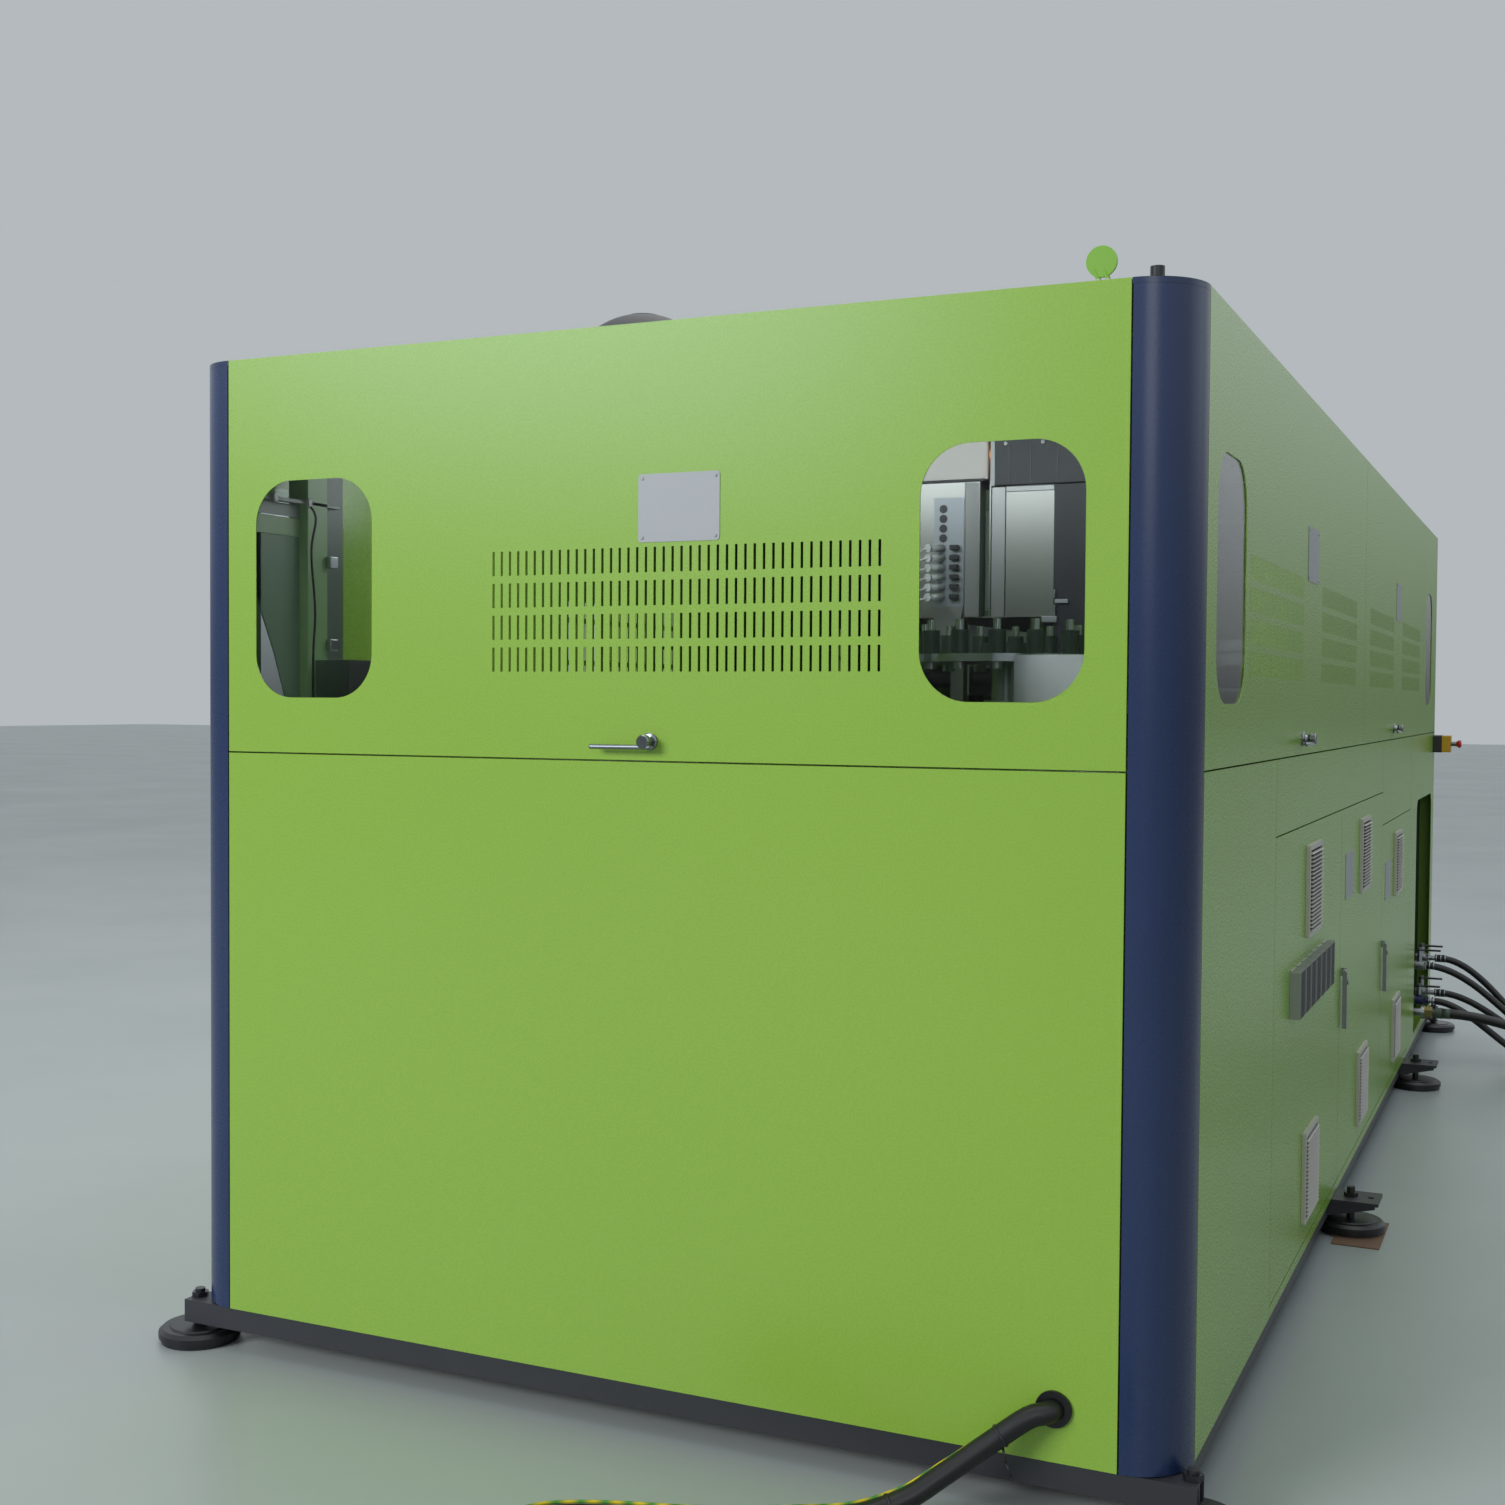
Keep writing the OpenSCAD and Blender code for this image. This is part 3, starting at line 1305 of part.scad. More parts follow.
module clamp_frame() color("#4a5056") placed() {
    top_t = 22;
    top_in = 60;
    mid_y = clamp_y + clamp_l / 2;
    guide_low = carriage_low - blow_stroke - 5;
    for (x = [-clamp_x - clamp_t, clamp_x])
        translate([x, clamp_y, clamp_low]) cube([clamp_t, clamp_l, clamp_h]);
    for (y = [clamp_y + tie_in, clamp_y + clamp_l - tie_in])
        for (z = tie_heights)
            translate([-clamp_x - 1, y, z]) rotate([0, 90, 0]) cylinder(r = tie_r, h = 2 * clamp_x + 2);
    translate([-clamp_x - 1, clamp_y + top_in, clamp_low + clamp_h - top_t])
        cube([2 * clamp_x + 2, clamp_l - 2 * top_in, top_t]);
    for (s = [-1, 1])
        translate([0, mid_y + s * guide_y, guide_low])
            cylinder(r = guide_r, h = clamp_low + clamp_h - top_t + 1 - guide_low);
}

// One mould half on the tie bars: platen, mould block and its cavities, drawn on the +x side.
module mould_half() {
    mid_y = clamp_y + clamp_l / 2;
    face = mould_stroke + 2;
    platen_x = face + mould_t;
    mould_low = clamp_low + 160;
    cavity_low = mould_low + 40;
    cavity_h = mould_h - 145;
    difference() {
        union() {
            translate([platen_x, clamp_y + 10, clamp_low + 120])
                cube([platen_t, clamp_l - 20, clamp_h - 160]);
            translate([face, mid_y - mould_l / 2, mould_low]) cube([mould_t + 1, mould_l, mould_h]);
        }
        for (y = [clamp_y + tie_in, clamp_y + clamp_l - tie_in])
            for (z = tie_heights)
                translate([platen_x - 1, y, z]) rotate([0, 90, 0])
                    cylinder(r = tie_r + run_gap, h = platen_t + 2);
        for (y = [mid_y - mould_l / 4, mid_y + mould_l / 4])
            translate([face - 2, y, cavity_low]) {
                cylinder(r = cavity_r, h = cavity_h);
                translate([0, 0, cavity_h - 1]) cylinder(r = 0.43 * cavity_r, h = mould_h - cavity_h);
            }
    }
}

module mould_left() color("#8d9499") placed() {
    mirror([1, 0, 0]) mould_half();
}

module mould_right() color("#8d9499") placed() {
    mould_half();
}

module blow_carriage() color("#a3a8ab") placed() {
    mid_y = clamp_y + clamp_l / 2;
    beam_half = guide_y + guide_r + 12;
    beam_s = 40;
    nozzle_l = 37;
    difference() {
        translate([-1.5 * beam_s, mid_y - beam_half, carriage_low])
            cube([3 * beam_s, 2 * beam_half, beam_s]);
        for (s = [-1, 1])
            translate([0, mid_y + s * guide_y, carriage_low - 1])
                cylinder(r = guide_r + run_gap, h = beam_s + 2);
    }
    for (s = [-1, 1])
        translate([0, mid_y + s * mould_l / 4, carriage_low - nozzle_l])
            cylinder(r = cavity_r / 3, h = nozzle_l + 1);
}

module control_rack() color("#b9bcbd") placed() {
    plate_x = half_w - rack_in;
    plate_t = 6;
    start = cab_seam_1 + rack_end;
    rack_l = cab_seam_3 - cab_seam_1 - 2 * rack_end;
    rack_h = split_z - rack_drop - rack_low;
    row_step = 0.306 * rack_h;
    front_x = plate_x + plate_t + weld_gap;
    module_n = 14;
    arm_z = 560;
    arm_w = 40;
    rail_l = rack_l - 120;
    module_step = (rail_l - 20 - module_w) / (module_n - 1);
    translate([plate_x, start, rack_low]) cube([plate_t, rack_l, rack_h]);
    translate([plate_x, mid_foot_1 - 30, cage_low]) cube([plate_t, 60, rack_low - cage_low - weld_gap]);
    for (y = [cab_seam_1, cab_seam_3]) {
        translate([front_x, y - arm_w / 2, arm_z]) cube([cage_x - seat_gap - front_x, arm_w, plate_t]);
        translate([plate_x, y - (y == cab_seam_1 ? arm_w / 2 : rack_end - weld_gap), arm_z])
            cube([plate_t, rack_end + arm_w / 2 - weld_gap, arm_w]);
    }
    for (row = [0 : 2])
        translate([front_x, start + 60, rack_low + 80 + row_step * row]) {
            cube([9, rail_l, 35]);
            for (i = [0 : module_n - 1])
                translate([8, 10 + i * module_step, -28])
                    cube([module_w * (0.54 + 0.12 * (i % 3)), module_w * (0.62 + 0.12 * (i % 4)), module_h]);
        }
    for (k = [0 : 3])
        translate([front_x, start + 30, rack_low + 20 + 0.97 * row_step * k])
            cube([45, rack_l - 60, 30]);
}

module supply_conduit() color("#2a2b2e") placed() line_tube(conduit_path, conduit_r);

module supply_connector() color("#1f5a9c") placed() {
    translate(conduit_end + [seat_gap, 0, 0]) rotate([0, 90, 0]) {
        cylinder(r = conduit_r + 4, h = 34);
        translate([0, 0, 33]) cylinder(r = conduit_r + 10, h = 62);
        translate([0, 0, 60]) cylinder(r = conduit_r + 11, h = 10);
        translate([0, 0, 94]) difference() {
            cylinder(r = conduit_r + 8, h = 34);
            translate([0, 0, 3]) cylinder(r = conduit_r + 5, h = 34);
        }
        for (a = [0 : 72 : 288])
            rotate([0, 0, a]) translate([13, 0, 94]) cylinder(r = 3, h = 28);
    }
}

module hose_1() color("#2a2b2e") placed() hose(0);
module hose_2() color("#2a2b2e") placed() hose(1);
module hose_3() color("#2a2b2e") placed() hose(2);
module hose_4() color("#2a2b2e") placed() hose(3);
module hose_5() color("#2a2b2e") placed() hose(4);

module hose_couplings() color("#b59a52") placed() {
    for (h = hoses)
        translate([hose_lane(h), h[6] - seat_gap, h[4]]) rotate([90, 0, 0]) {
            cylinder(r = 0.62 * h[4], h = 30);
            translate([0, 0, 2]) cylinder(r = 0.98 * h[4], h = 18, $fn = 6);
            translate([0, 0, 28]) cylinder(r = 0.9 * h[4], h = 26);
        }
}

base_frame();
levelling_feet();
corner_posts();
cage_frame();
roof_panel();
roof_fan_housing();
roof_fan_impeller();
roof_fittings();
front_door();
front_door_panes();
front_handle();
front_lower_panel();
cable_gland();
rear_upper_panel();
rear_lower_panel();
right_door_1();
right_door_1_pane();
right_handle_1();
right_door_2();
right_handle_2();
right_end_panel();
right_end_pane();
right_near_panel();
right_door_frame();
right_outlet_panel();
cabinet_door_1();
cabinet_door_2();
cabinet_door_3();
louvres_door_1();
louvres_door_2();
louvres_door_3();
heat_sinks();
swing_handle_2();
swing_handle_3();
estop_box();
estop_button();
valve_manifold();
valve_lever_1();
valve_lever_2();
valve_lever_3();
valve_lever_4();
left_upper_panel();
left_pane();
left_lower_panel();
deck();
oven_boxes();
feed_wheel();
clamp_frame();
mould_left();
mould_right();
blow_carriage();
control_rack();
supply_conduit();
supply_connector();
hose_1();
hose_2();
hose_3();
hose_4();
hose_5();
hose_couplings();
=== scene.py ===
import math
import bpy
import numpy as np
from mathutils import Matrix, Vector


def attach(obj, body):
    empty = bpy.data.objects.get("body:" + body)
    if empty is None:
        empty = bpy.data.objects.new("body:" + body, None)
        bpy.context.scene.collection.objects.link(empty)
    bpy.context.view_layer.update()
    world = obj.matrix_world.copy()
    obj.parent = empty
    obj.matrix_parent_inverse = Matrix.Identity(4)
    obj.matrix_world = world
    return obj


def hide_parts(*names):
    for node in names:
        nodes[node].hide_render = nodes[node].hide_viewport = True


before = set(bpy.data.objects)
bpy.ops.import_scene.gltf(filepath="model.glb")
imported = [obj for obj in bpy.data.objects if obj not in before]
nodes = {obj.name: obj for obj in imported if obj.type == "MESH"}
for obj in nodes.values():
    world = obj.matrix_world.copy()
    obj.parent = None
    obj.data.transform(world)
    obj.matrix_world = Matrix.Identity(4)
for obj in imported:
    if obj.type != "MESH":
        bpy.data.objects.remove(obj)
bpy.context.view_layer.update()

# Camera. Place, turn and lens were fitted to the corners, windows, slots and feet in the photo by least
# squares. The picture is square with its middle on the lens axis. Its side and the focal length are in
# picture points.
scene = bpy.context.scene
picture, focal_length = 1505, 1805.1
eye = (1.5545, -5.3228, 1.3175)
yaw, pitch, roll = math.radians(24.799), math.radians(-1.657), math.radians(0.387)
look = Vector((-math.sin(yaw) * math.cos(pitch), math.cos(yaw) * math.cos(pitch), math.sin(pitch)))
level = Vector((math.cos(yaw), math.sin(yaw), 0))
rise = level.cross(look)
right = level * math.cos(roll) + rise * math.sin(roll)
above = rise * math.cos(roll) - level * math.sin(roll)
lens = bpy.data.cameras.new("camera")
lens.sensor_width = 36
lens.lens = 36 * focal_length / picture
lens.clip_start, lens.clip_end = 0.05, 120
camera = bpy.data.objects.new("camera", lens)
scene.collection.objects.link(camera)
camera.matrix_world = Matrix.Translation(eye) @ Matrix((right, above, -look)).transposed().to_4x4()
scene.camera = camera
scene.render.resolution_x = picture
scene.render.resolution_y = picture
scene.view_settings.view_transform = "Standard"
scene.render.engine = "CYCLES"


# Supply conduit. A stiff black rubber hose round the supply cable. It leaves the grommet in the front panel,
# drops to the floor, turns back and ends in the plug that the CAD model has, out of the picture.
def cord_curve(name, points, thickness, rounds=8):
    """A smooth tube of the given thickness round a line of points in metres, closed at both ends."""
    data = bpy.data.curves.new(name, "CURVE")
    data.dimensions = "3D"
    data.bevel_depth = thickness / 2
    data.bevel_resolution = rounds
    data.use_fill_caps = True
    line = data.splines.new("POLY")
    line.points.add(len(points) - 1)
    line.points.foreach_set("co", np.hstack([points, np.ones((len(points), 1))]).ravel())
    line.use_smooth = True
    piece = bpy.data.objects.new(name, data)
    scene.collection.objects.link(piece)
    return piece


def smooth_line(points, count):
    """A line of evenly spaced points, and its length. Each stretch is a cubic that meets the two points
    at its ends, and at each runs parallel to the line from the point before to the point after."""
    given = np.array(points, float)
    longer = np.vstack([2 * given[0] - given[1], given, 2 * given[-1] - given[-2]])
    t = np.linspace(0, 1, 24, endpoint=False)[:, None]
    stretches = []
    for i in range(len(given) - 1):
        before, start, end, after = longer[i:i + 4]
        stretches.append(0.5 * (2 * start + (end - before) * t
                                + (2 * before - 5 * start + 4 * end - after) * t ** 2
                                + (3 * start - before - 3 * end + after) * t ** 3))
    line = np.vstack(stretches + [given[-1:]])
    along = np.concatenate([[0], np.cumsum(np.linalg.norm(np.diff(line, axis=0), axis=1))])
    even = np.linspace(0, along[-1], count)
    return np.stack([np.interp(even, along, line[:, k]) for k in range(3)], axis=1), along[-1]


grommet_x, grommet_z, conduit_r = 0.794, 0.178, 0.018
plug_z = conduit_r + 0.011
line_points = 150
conduit_line, conduit_length = smooth_line([(grommet_x + across, y, z) for across, y, z in (
    (0, -2.492, grommet_z), (0, -2.508, grommet_z), (-0.009, -2.521, grommet_z - 0.002),
    (-0.034, -2.534, grommet_z - 0.009), (-0.089, -2.560, grommet_z - 0.050),
    (-0.152, -2.595, grommet_z - 0.098), (-0.212, -2.635, 0.040), (-0.300, -2.692, conduit_r),
    (-0.470, -2.785, conduit_r), (-0.650, -2.850, conduit_r), (-0.730, -2.900, conduit_r),
    (-0.745, -2.965, conduit_r), (-0.705, -3.020, conduit_r), (-0.600, -3.045, conduit_r),
    (-0.200, -3.040, conduit_r), (0.066, -3.042, plug_z), (0.096, -3.042, plug_z))], line_points)
conduit_line[:, 2] = np.maximum(conduit_line[:, 2], conduit_r)
conduit = cord_curve("supply_conduit_cord", conduit_line, 2 * conduit_r)
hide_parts("supply_conduit")
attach(conduit, "cabin")

# Hoses. Black rubber air hoses. Each leaves its nozzle level, spreads into its own lane, falls to the floor,
# follows the common bend and ends in a coupling beside the machine, out of the picture. A row holds the
# nozzle's x, y and z, the lane's y, the radius, the length of the fall and the y of the far end.
hose_rows = [
    ("hose_1", 1.075, 1.9, 0.365, 1.935, 0.0125, 0.474, 0.06),
    ("hose_2", 1.030, 1.8, 0.349, 1.835, 0.0125, 0.573, 0.18),
    ("hose_3", 1.075, 1.9, 0.235, 1.895, 0.0125, 0.490, 0.12),
    ("hose_4", 1.060, 1.8, 0.218, 1.790, 0.0125, 0.400, 0.24),
    ("hose_5", 1.121, 1.72, 0.187, 1.720, 0.0175, 0.778, 0.30),
]
bend_x, bend_y, spread, sway = 1.33, 1.6, 0.2, 0.0073


def ease(q):
    """A share from 0 to 1 that starts and ends gently: three times its square less twice its cube."""
    q = np.clip(q, 0, 1)
    return q * q * (3 - 2 * q)


hoses = []
for name, x0, y0, z0, lane, r, fall, y_end in hose_rows:
    run, bend_r = bend_x - x0, lane - bend_y
    arc, straight = bend_r * math.pi / 2, bend_y - y_end
    s = np.linspace(0, run + arc + straight, line_points)
    turned = np.clip((s - run) / bend_r, 0, math.pi / 2)
    past = np.clip(s - run - arc, 0, None)
    x = np.where(s < run, x0 + s, bend_x + bend_r * np.sin(turned))
    x = x + sway * np.sin(2 * math.pi * np.clip(past / straight, 0, 1))
    y = np.where(s < run, y0 + (lane - y0) * ease(s / spread), bend_y + bend_r * np.cos(turned)) - past
    line = np.stack([x, y, z0 + (r - z0) * ease(s / fall)], axis=1)
    hose = cord_curve(name + "_cord", line, 2 * r)
    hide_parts(name)
    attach(hose, "cabin")
    hoses.append(hose)

# Floor. A pale, sealed concrete floor, faintly clouded. It reaches beyond the picture and mirrors a little,
# more in some places than in others.
reach = 60
floor_mesh = bpy.data.meshes.new("floor")
floor_mesh.from_pydata([(-reach, -reach, 0), (reach, -reach, 0), (reach, reach, 0), (-reach, reach, 0)], [],
                       [(0, 1, 2, 3)])
floor = bpy.data.objects.new("floor", floor_mesh)
scene.collection.objects.link(floor)


def linear(code):
    """A colour from its sRGB hex code in linear light: each channel is divided by 12.92 near black, and
    otherwise raised by 0.055, divided by 1.055 and taken to the power 2.4."""
    channels = [int(code[i:i + 2], 16) / 255 for i in (1, 3, 5)]
    return tuple(c / 12.92 if c <= 0.04045 else ((c + 0.055) / 1.055) ** 2.4 for c in channels) + (1.0,)


def set_inputs(node, first, *values):
    """Set the node's inputs to the values, one after the other from input number first on."""
    for k, value in enumerate(values):
        node.inputs[first + k].default_value = value


def makers(tree):
    """The node maker and the link maker of a node tree. The node maker also sets options and inputs."""
    def add(kind, **settings):
        node = tree.nodes.new(kind)
        for key, value in settings.items():
            if hasattr(node, key):
                setattr(node, key, value)
            else:
                node.inputs[key.replace("_", " ")].default_value = value
        return node

    return add, tree.links.new


def material(name):
    """A new material with its shader, node maker and link maker."""
    paint = bpy.data.materials.new(name)
    paint.use_nodes = True
    shader = next(n for n in paint.node_tree.nodes if n.type == "BSDF_PRINCIPLED")
    return (paint, shader, *makers(paint.node_tree))


floor_paint, shader, add, link = material("floor_paint")
coords = add("ShaderNodeTexCoord")
cloud = add("ShaderNodeTexNoise", Scale=0.7, Detail=6.0, Roughness=0.6)
tone = add("ShaderNodeMix", data_type="RGBA")
set_inputs(tone, 6, linear("#b4bcbc"), linear("#a6b0b0"))
rough = add("ShaderNodeMapRange", To_Min=0.28, To_Max=0.5)
link(coords.outputs["Object"], cloud.inputs["Vector"])
link(cloud.outputs[0], tone.inputs[0])
link(cloud.outputs[0], rough.inputs[0])
link(tone.outputs[2], shader.inputs["Base Color"])
link(rough.outputs[0], shader.inputs["Roughness"])
floor_mesh.materials.append(floor_paint)

# Surround. A pale, even sky that shows brighter than it lights. What the paint mirrors of it is dim at eye
# height and bright from a little above, like a hall with a lit roof. Incoming points down the ray, so its z
# falls below zero where the ray goes up.
world = bpy.data.worlds.new("surround")
scene.world = world
world.use_nodes = True
sky = world.node_tree.nodes["Background"]
add, link = makers(world.node_tree)
rays = add("ShaderNodeLightPath")
facing = add("ShaderNodeNewGeometry")
split = add("ShaderNodeSeparateXYZ")
height = add("ShaderNodeMapRange", From_Min=0.0, From_Max=-0.22, To_Min=0.17, To_Max=1.1)
seen = add("ShaderNodeMix")
mirrored = add("ShaderNodeMix")
sky.inputs[0].default_value = linear("#dfe6ea")
set_inputs(seen, 2, 0.34, 0.62)
link(facing.outputs["Incoming"], split.inputs[0])
link(split.outputs[2], height.inputs[0])
link(rays.outputs["Is Camera Ray"], seen.inputs[0])
link(seen.outputs[0], mirrored.inputs[2])
link(height.outputs[0], mirrored.inputs[3])
link(rays.outputs["Is Glossy Ray"], mirrored.inputs[0])
link(mirrored.outputs[0], sky.inputs[1])

# Lights. Two large soft panels at the front left: the warm one lights the front without being mirrored, and
# the cool one also gives the sheen. Weaker ones stand at the right, in front and above, and two small lamps
# hang behind the front windows. A row holds place, aim, width, height, watts and tint.
for name, place, aim, wide, tall, power, tint in [
    ("key_light", (-6.5, -13.0, 5.2), (-0.2, -2.5, 1.0), 6.0, 3.5, 880, "#fff6ea"),
    ("sheen_light", (-6.5, -13.2, 5.4), (-0.2, -2.5, 1.0), 6.0, 3.5, 430, "#dfeaff"),
    ("side_light", (7.5, 1.5, 4.4), (1.0, 1.2, 0.8), 5.0, 4.0, 30, "#cfe4ff"),
    ("fill_light", (3.4, -9.0, 3.4), (1.0, -1.0, 0.9), 2.4, 2.0, 34, "#ffffff"),
    ("top_light", (0.0, 0.5, 7.5), (0.0, 0.5, 0.0), 7.0, 9.0, 240, "#ffffff"),
    ("inside_front", (0.25, -2.05, 1.93), (0.35, -1.5, 1.4), 1.1, 0.3, 5.5, "#f4f8ff"),
    ("inside_left", (-0.55, -1.7, 1.93), (-0.9, -2.0, 1.4), 0.5, 0.5, 3.2, "#f4f8ff"),
]:
    lamp = bpy.data.lights.new(name, "AREA")
    lamp.shape, lamp.size, lamp.size_y = "RECTANGLE", wide, tall
    lamp.energy, lamp.color = power, linear(tint)[:3]
    holder = bpy.data.objects.new(name, lamp)
    scene.collection.objects.link(holder)
    holder.location = place
    holder.visible_glossy = name != "key_light"
    holder.rotation_euler = (Vector(aim) - Vector(place)).to_track_quat("-Z", "Y").to_euler()


# Cabin panels and doors. Folded steel sheet with a green powder coat, whose fine orange peel moves both the
# gloss and the surface. The steel ears that carry the swing handles stand out from the face and stay bare.
def lay(paint, *names):
    """Give each named CAD piece this one material."""
    for name in names:
        nodes[name].data.materials.clear()
        nodes[name].data.materials.append(paint)


ear_middle, ear_reach = 1.0162, 0.015
cabin, shader, add, link = material("cabin_green")
coords = add("ShaderNodeTexCoord")
split = add("ShaderNodeSeparateXYZ")
peel = add("ShaderNodeTexNoise", Scale=260.0, Detail=2.0, Roughness=0.5)
cloud = add("ShaderNodeTexNoise", Scale=1.1, Detail=1.0, Roughness=0.4)
green = add("ShaderNodeMix", data_type="RGBA")
set_inputs(green, 6, linear("#86af40"), linear("#8ab343"))
gloss = add("ShaderNodeMapRange", From_Min=0.35, From_Max=0.65, To_Min=0.26, To_Max=0.29)
bump = add("ShaderNodeBump", Strength=0.1, Distance=0.0005)
ears = add("ShaderNodeMath", operation="COMPARE")
set_inputs(ears, 1, ear_middle, ear_reach)
ear_tint = add("ShaderNodeMix", data_type="RGBA")
set_inputs(ear_tint, 7, linear("#8f9294"))
link(coords.outputs["Object"], peel.inputs["Vector"])
link(coords.outputs["Object"], cloud.inputs["Vector"])
link(coords.outputs["Object"], split.inputs[0])
link(split.outputs[0], ears.inputs[0])
link(cloud.outputs[0], green.inputs[0])
link(green.outputs[2], ear_tint.inputs[6])
link(ears.outputs[0], ear_tint.inputs[0])
link(ear_tint.outputs[2], shader.inputs["Base Color"])
link(ears.outputs[0], shader.inputs["Metallic"])
link(peel.outputs[0], gloss.inputs[0])
link(gloss.outputs[0], shader.inputs["Roughness"])
link(peel.outputs[0], bump.inputs["Height"])
link(bump.outputs[0], shader.inputs["Normal"])
lay(cabin, "front_door", "front_lower_panel", "rear_upper_panel", "rear_lower_panel", "right_door_1",
    "right_door_2", "right_end_panel", "right_near_panel", "right_door_frame", "right_outlet_panel",
    "cabinet_door_1", "cabinet_door_2", "cabinet_door_3", "left_upper_panel", "left_lower_panel")


# Plain finishes. Satin paint on posts, base, cage and rack, brushed, polished and cast metal, rubber and
# moulded plastic. A row holds colour, gloss, what differs from a plain paint, and the CAD pieces.
def finish(name, code, gloss, metal=0.0, grain=200.0, depth=0.0002, strength=0.15, stretch=(1, 1, 1),
           second=None):
    """A paint, metal or plastic. Its fine grain, stretched along the brushing, moves the gloss between
    0.85 and 1.2 times the given one and lifts the surface. A grain 40 times as broad blends the colour
    towards the second one."""
    paint, shader, add, link = material(name)
    coords = add("ShaderNodeTexCoord")
    brushed = add("ShaderNodeMapping", Scale=stretch)
    fine = add("ShaderNodeTexNoise", Scale=grain, Detail=4.0, Roughness=0.6)
    broad = add("ShaderNodeTexNoise", Scale=max(grain / 40, 2.0), Detail=4.0, Roughness=0.6)
    tone = add("ShaderNodeMix", data_type="RGBA")
    set_inputs(tone, 6, linear(code), linear(second or code))
    span = add("ShaderNodeMapRange", To_Min=gloss * 0.85, To_Max=gloss * 1.2)
    bump = add("ShaderNodeBump", Strength=strength, Distance=depth)
    link(coords.outputs["Object"], brushed.inputs["Vector"])
    link(brushed.outputs[0], fine.inputs["Vector"])
    link(coords.outputs["Object"], broad.inputs["Vector"])
    link(broad.outputs[0], tone.inputs[0])
    link(fine.outputs[0], span.inputs[0])
    link(tone.outputs[2], shader.inputs["Base Color"])
    link(span.outputs[0], shader.inputs["Roughness"])
    link(fine.outputs[0], bump.inputs["Height"])
    link(bump.outputs[0], shader.inputs["Normal"])
    shader.inputs["Metallic"].default_value = metal
    return paint


finishes = {}
for name, code, gloss, more, pieces in [
    ("post_blue", "#1c2e52", 0.26, dict(grain=300, strength=0.05, second="#20325a"), ["corner_posts"]),
    ("base_black", "#2a2b2f", 0.45, dict(second="#33343a"), ["base_frame"]),
    ("cage_green", "#2c4a22", 0.4, dict(second="#31512a"), ["cage_frame"]),
    ("fan_black", "#0f1012", 0.5, dict(second="#141518"), ["roof_fan_housing"]),
    ("machine_grey", "#4c5156", 0.4, dict(second="#54595d"), ["clamp_frame"]),
    ("rack_grey", "#b9bcbd", 0.4, dict(second="#b0b4b6"), ["control_rack"]),
    ("stainless", "#8f918c", 0.38, dict(metal=1.0, grain=300, depth=0.0001, strength=0.08,
                                        stretch=(1, 1, 14), second="#85878a"), ["blow_carriage"]),
    ("bright_metal", "#85898a", 0.13, dict(metal=1.0, grain=60, depth=0.0001, strength=0.03),
     ["front_handle", "right_handle_1", "right_handle_2"]),
    ("alloy", "#b3b7ba", 0.36, dict(metal=1.0, grain=240, depth=0.0001, strength=0.1, second="#a6abae"),
     ["roof_fan_impeller", "mould_left", "mould_right"]),
    ("blue_plastic", "#1d57a0", 0.35, {}, ["supply_connector"]),
    ("brass", "#8d8353", 0.34, dict(metal=1.0, second="#82774c"), ["hose_couplings"]),
    ("black_rubber", "#0b0b0c", 0.4, dict(second="#101011"), ["cable_gland"]),
    ("swing_zinc", "#8f9294", 0.3, dict(metal=0.7, second="#878a8c"), ["swing_handle_2", "swing_handle_3"]),
    ("black_plastic", "#191a1c", 0.4, {},
     ["valve_lever_1", "valve_lever_2", "valve_lever_3", "valve_lever_4"]),
]:
    finishes[name] = finish(name, code, gloss, **more)
    lay(finishes[name], *pieces)
for cord in [conduit] + hoses:
    cord.data.materials.append(finishes["black_rubber"])


# Louvres. Round vents moulded from pale plastic and clipped into the cabinet doors. The slats lie behind the
# rim and are painted greyer as shade, and the gaps behind the slats are painted near black as shade.
def zoned(name, code, gloss, metal, zones, grain=220.0, depth=0.0002, strength=0.12):
    """A material that changes with the place on one CAD piece. Each zone is a box with its own colour,
    gloss and metal, given as spans of x, y or z in metres: a point is in a span if it is no farther from
    the middle than half the span, and in the box if that holds for every span. Later zones lie on top."""
    paint, shader, add, link = material(name)
    coords = add("ShaderNodeTexCoord")
    split = add("ShaderNodeSeparateXYZ")
    fine = add("ShaderNodeTexNoise", Scale=grain, Detail=4.0, Roughness=0.6)
    bump = add("ShaderNodeBump", Strength=strength, Distance=depth)
    link(coords.outputs["Object"], split.inputs[0])
    link(coords.outputs["Object"], fine.inputs["Vector"])
    link(fine.outputs[0], bump.inputs["Height"])
    link(bump.outputs[0], shader.inputs["Normal"])
    colour, surface = None, None
    for spans, zone_code, zone_gloss, zone_metal in zones:
        share = None
        for axis, (low, high) in spans.items():
            inside = add("ShaderNodeMath", operation="COMPARE")
            set_inputs(inside, 1, (low + high) / 2, (high - low) / 2)
            link(split.outputs["xyz".index(axis)], inside.inputs[0])
            within = inside.outputs[0]
            if share is not None:
                both = add("ShaderNodeMath", operation="MULTIPLY")
                link(share, both.inputs[0])
                link(within, both.inputs[1])
                within = both.outputs[0]
            share = within
        tint = add("ShaderNodeMix", data_type="RGBA")
        feel = add("ShaderNodeMix", data_type="RGBA")
        set_inputs(tint, 6, linear(code), linear(zone_code))
        set_inputs(feel, 6, (gloss, metal, 0, 1), (zone_gloss, zone_metal, 0, 1))
        for mix, before in ((tint, colour), (feel, surface)):
            link(share, mix.inputs[0])
            if before is not None:
                link(before, mix.inputs[6])
        colour, surface = tint.outputs[2], feel.outputs[2]
    values = add("ShaderNodeSeparateColor")
    link(surface, values.inputs[0])
    link(colour, shader.inputs["Base Color"])
    link(values.outputs[0], shader.inputs["Roughness"])
    link(values.outputs[1], shader.inputs["Metallic"])
    return paint


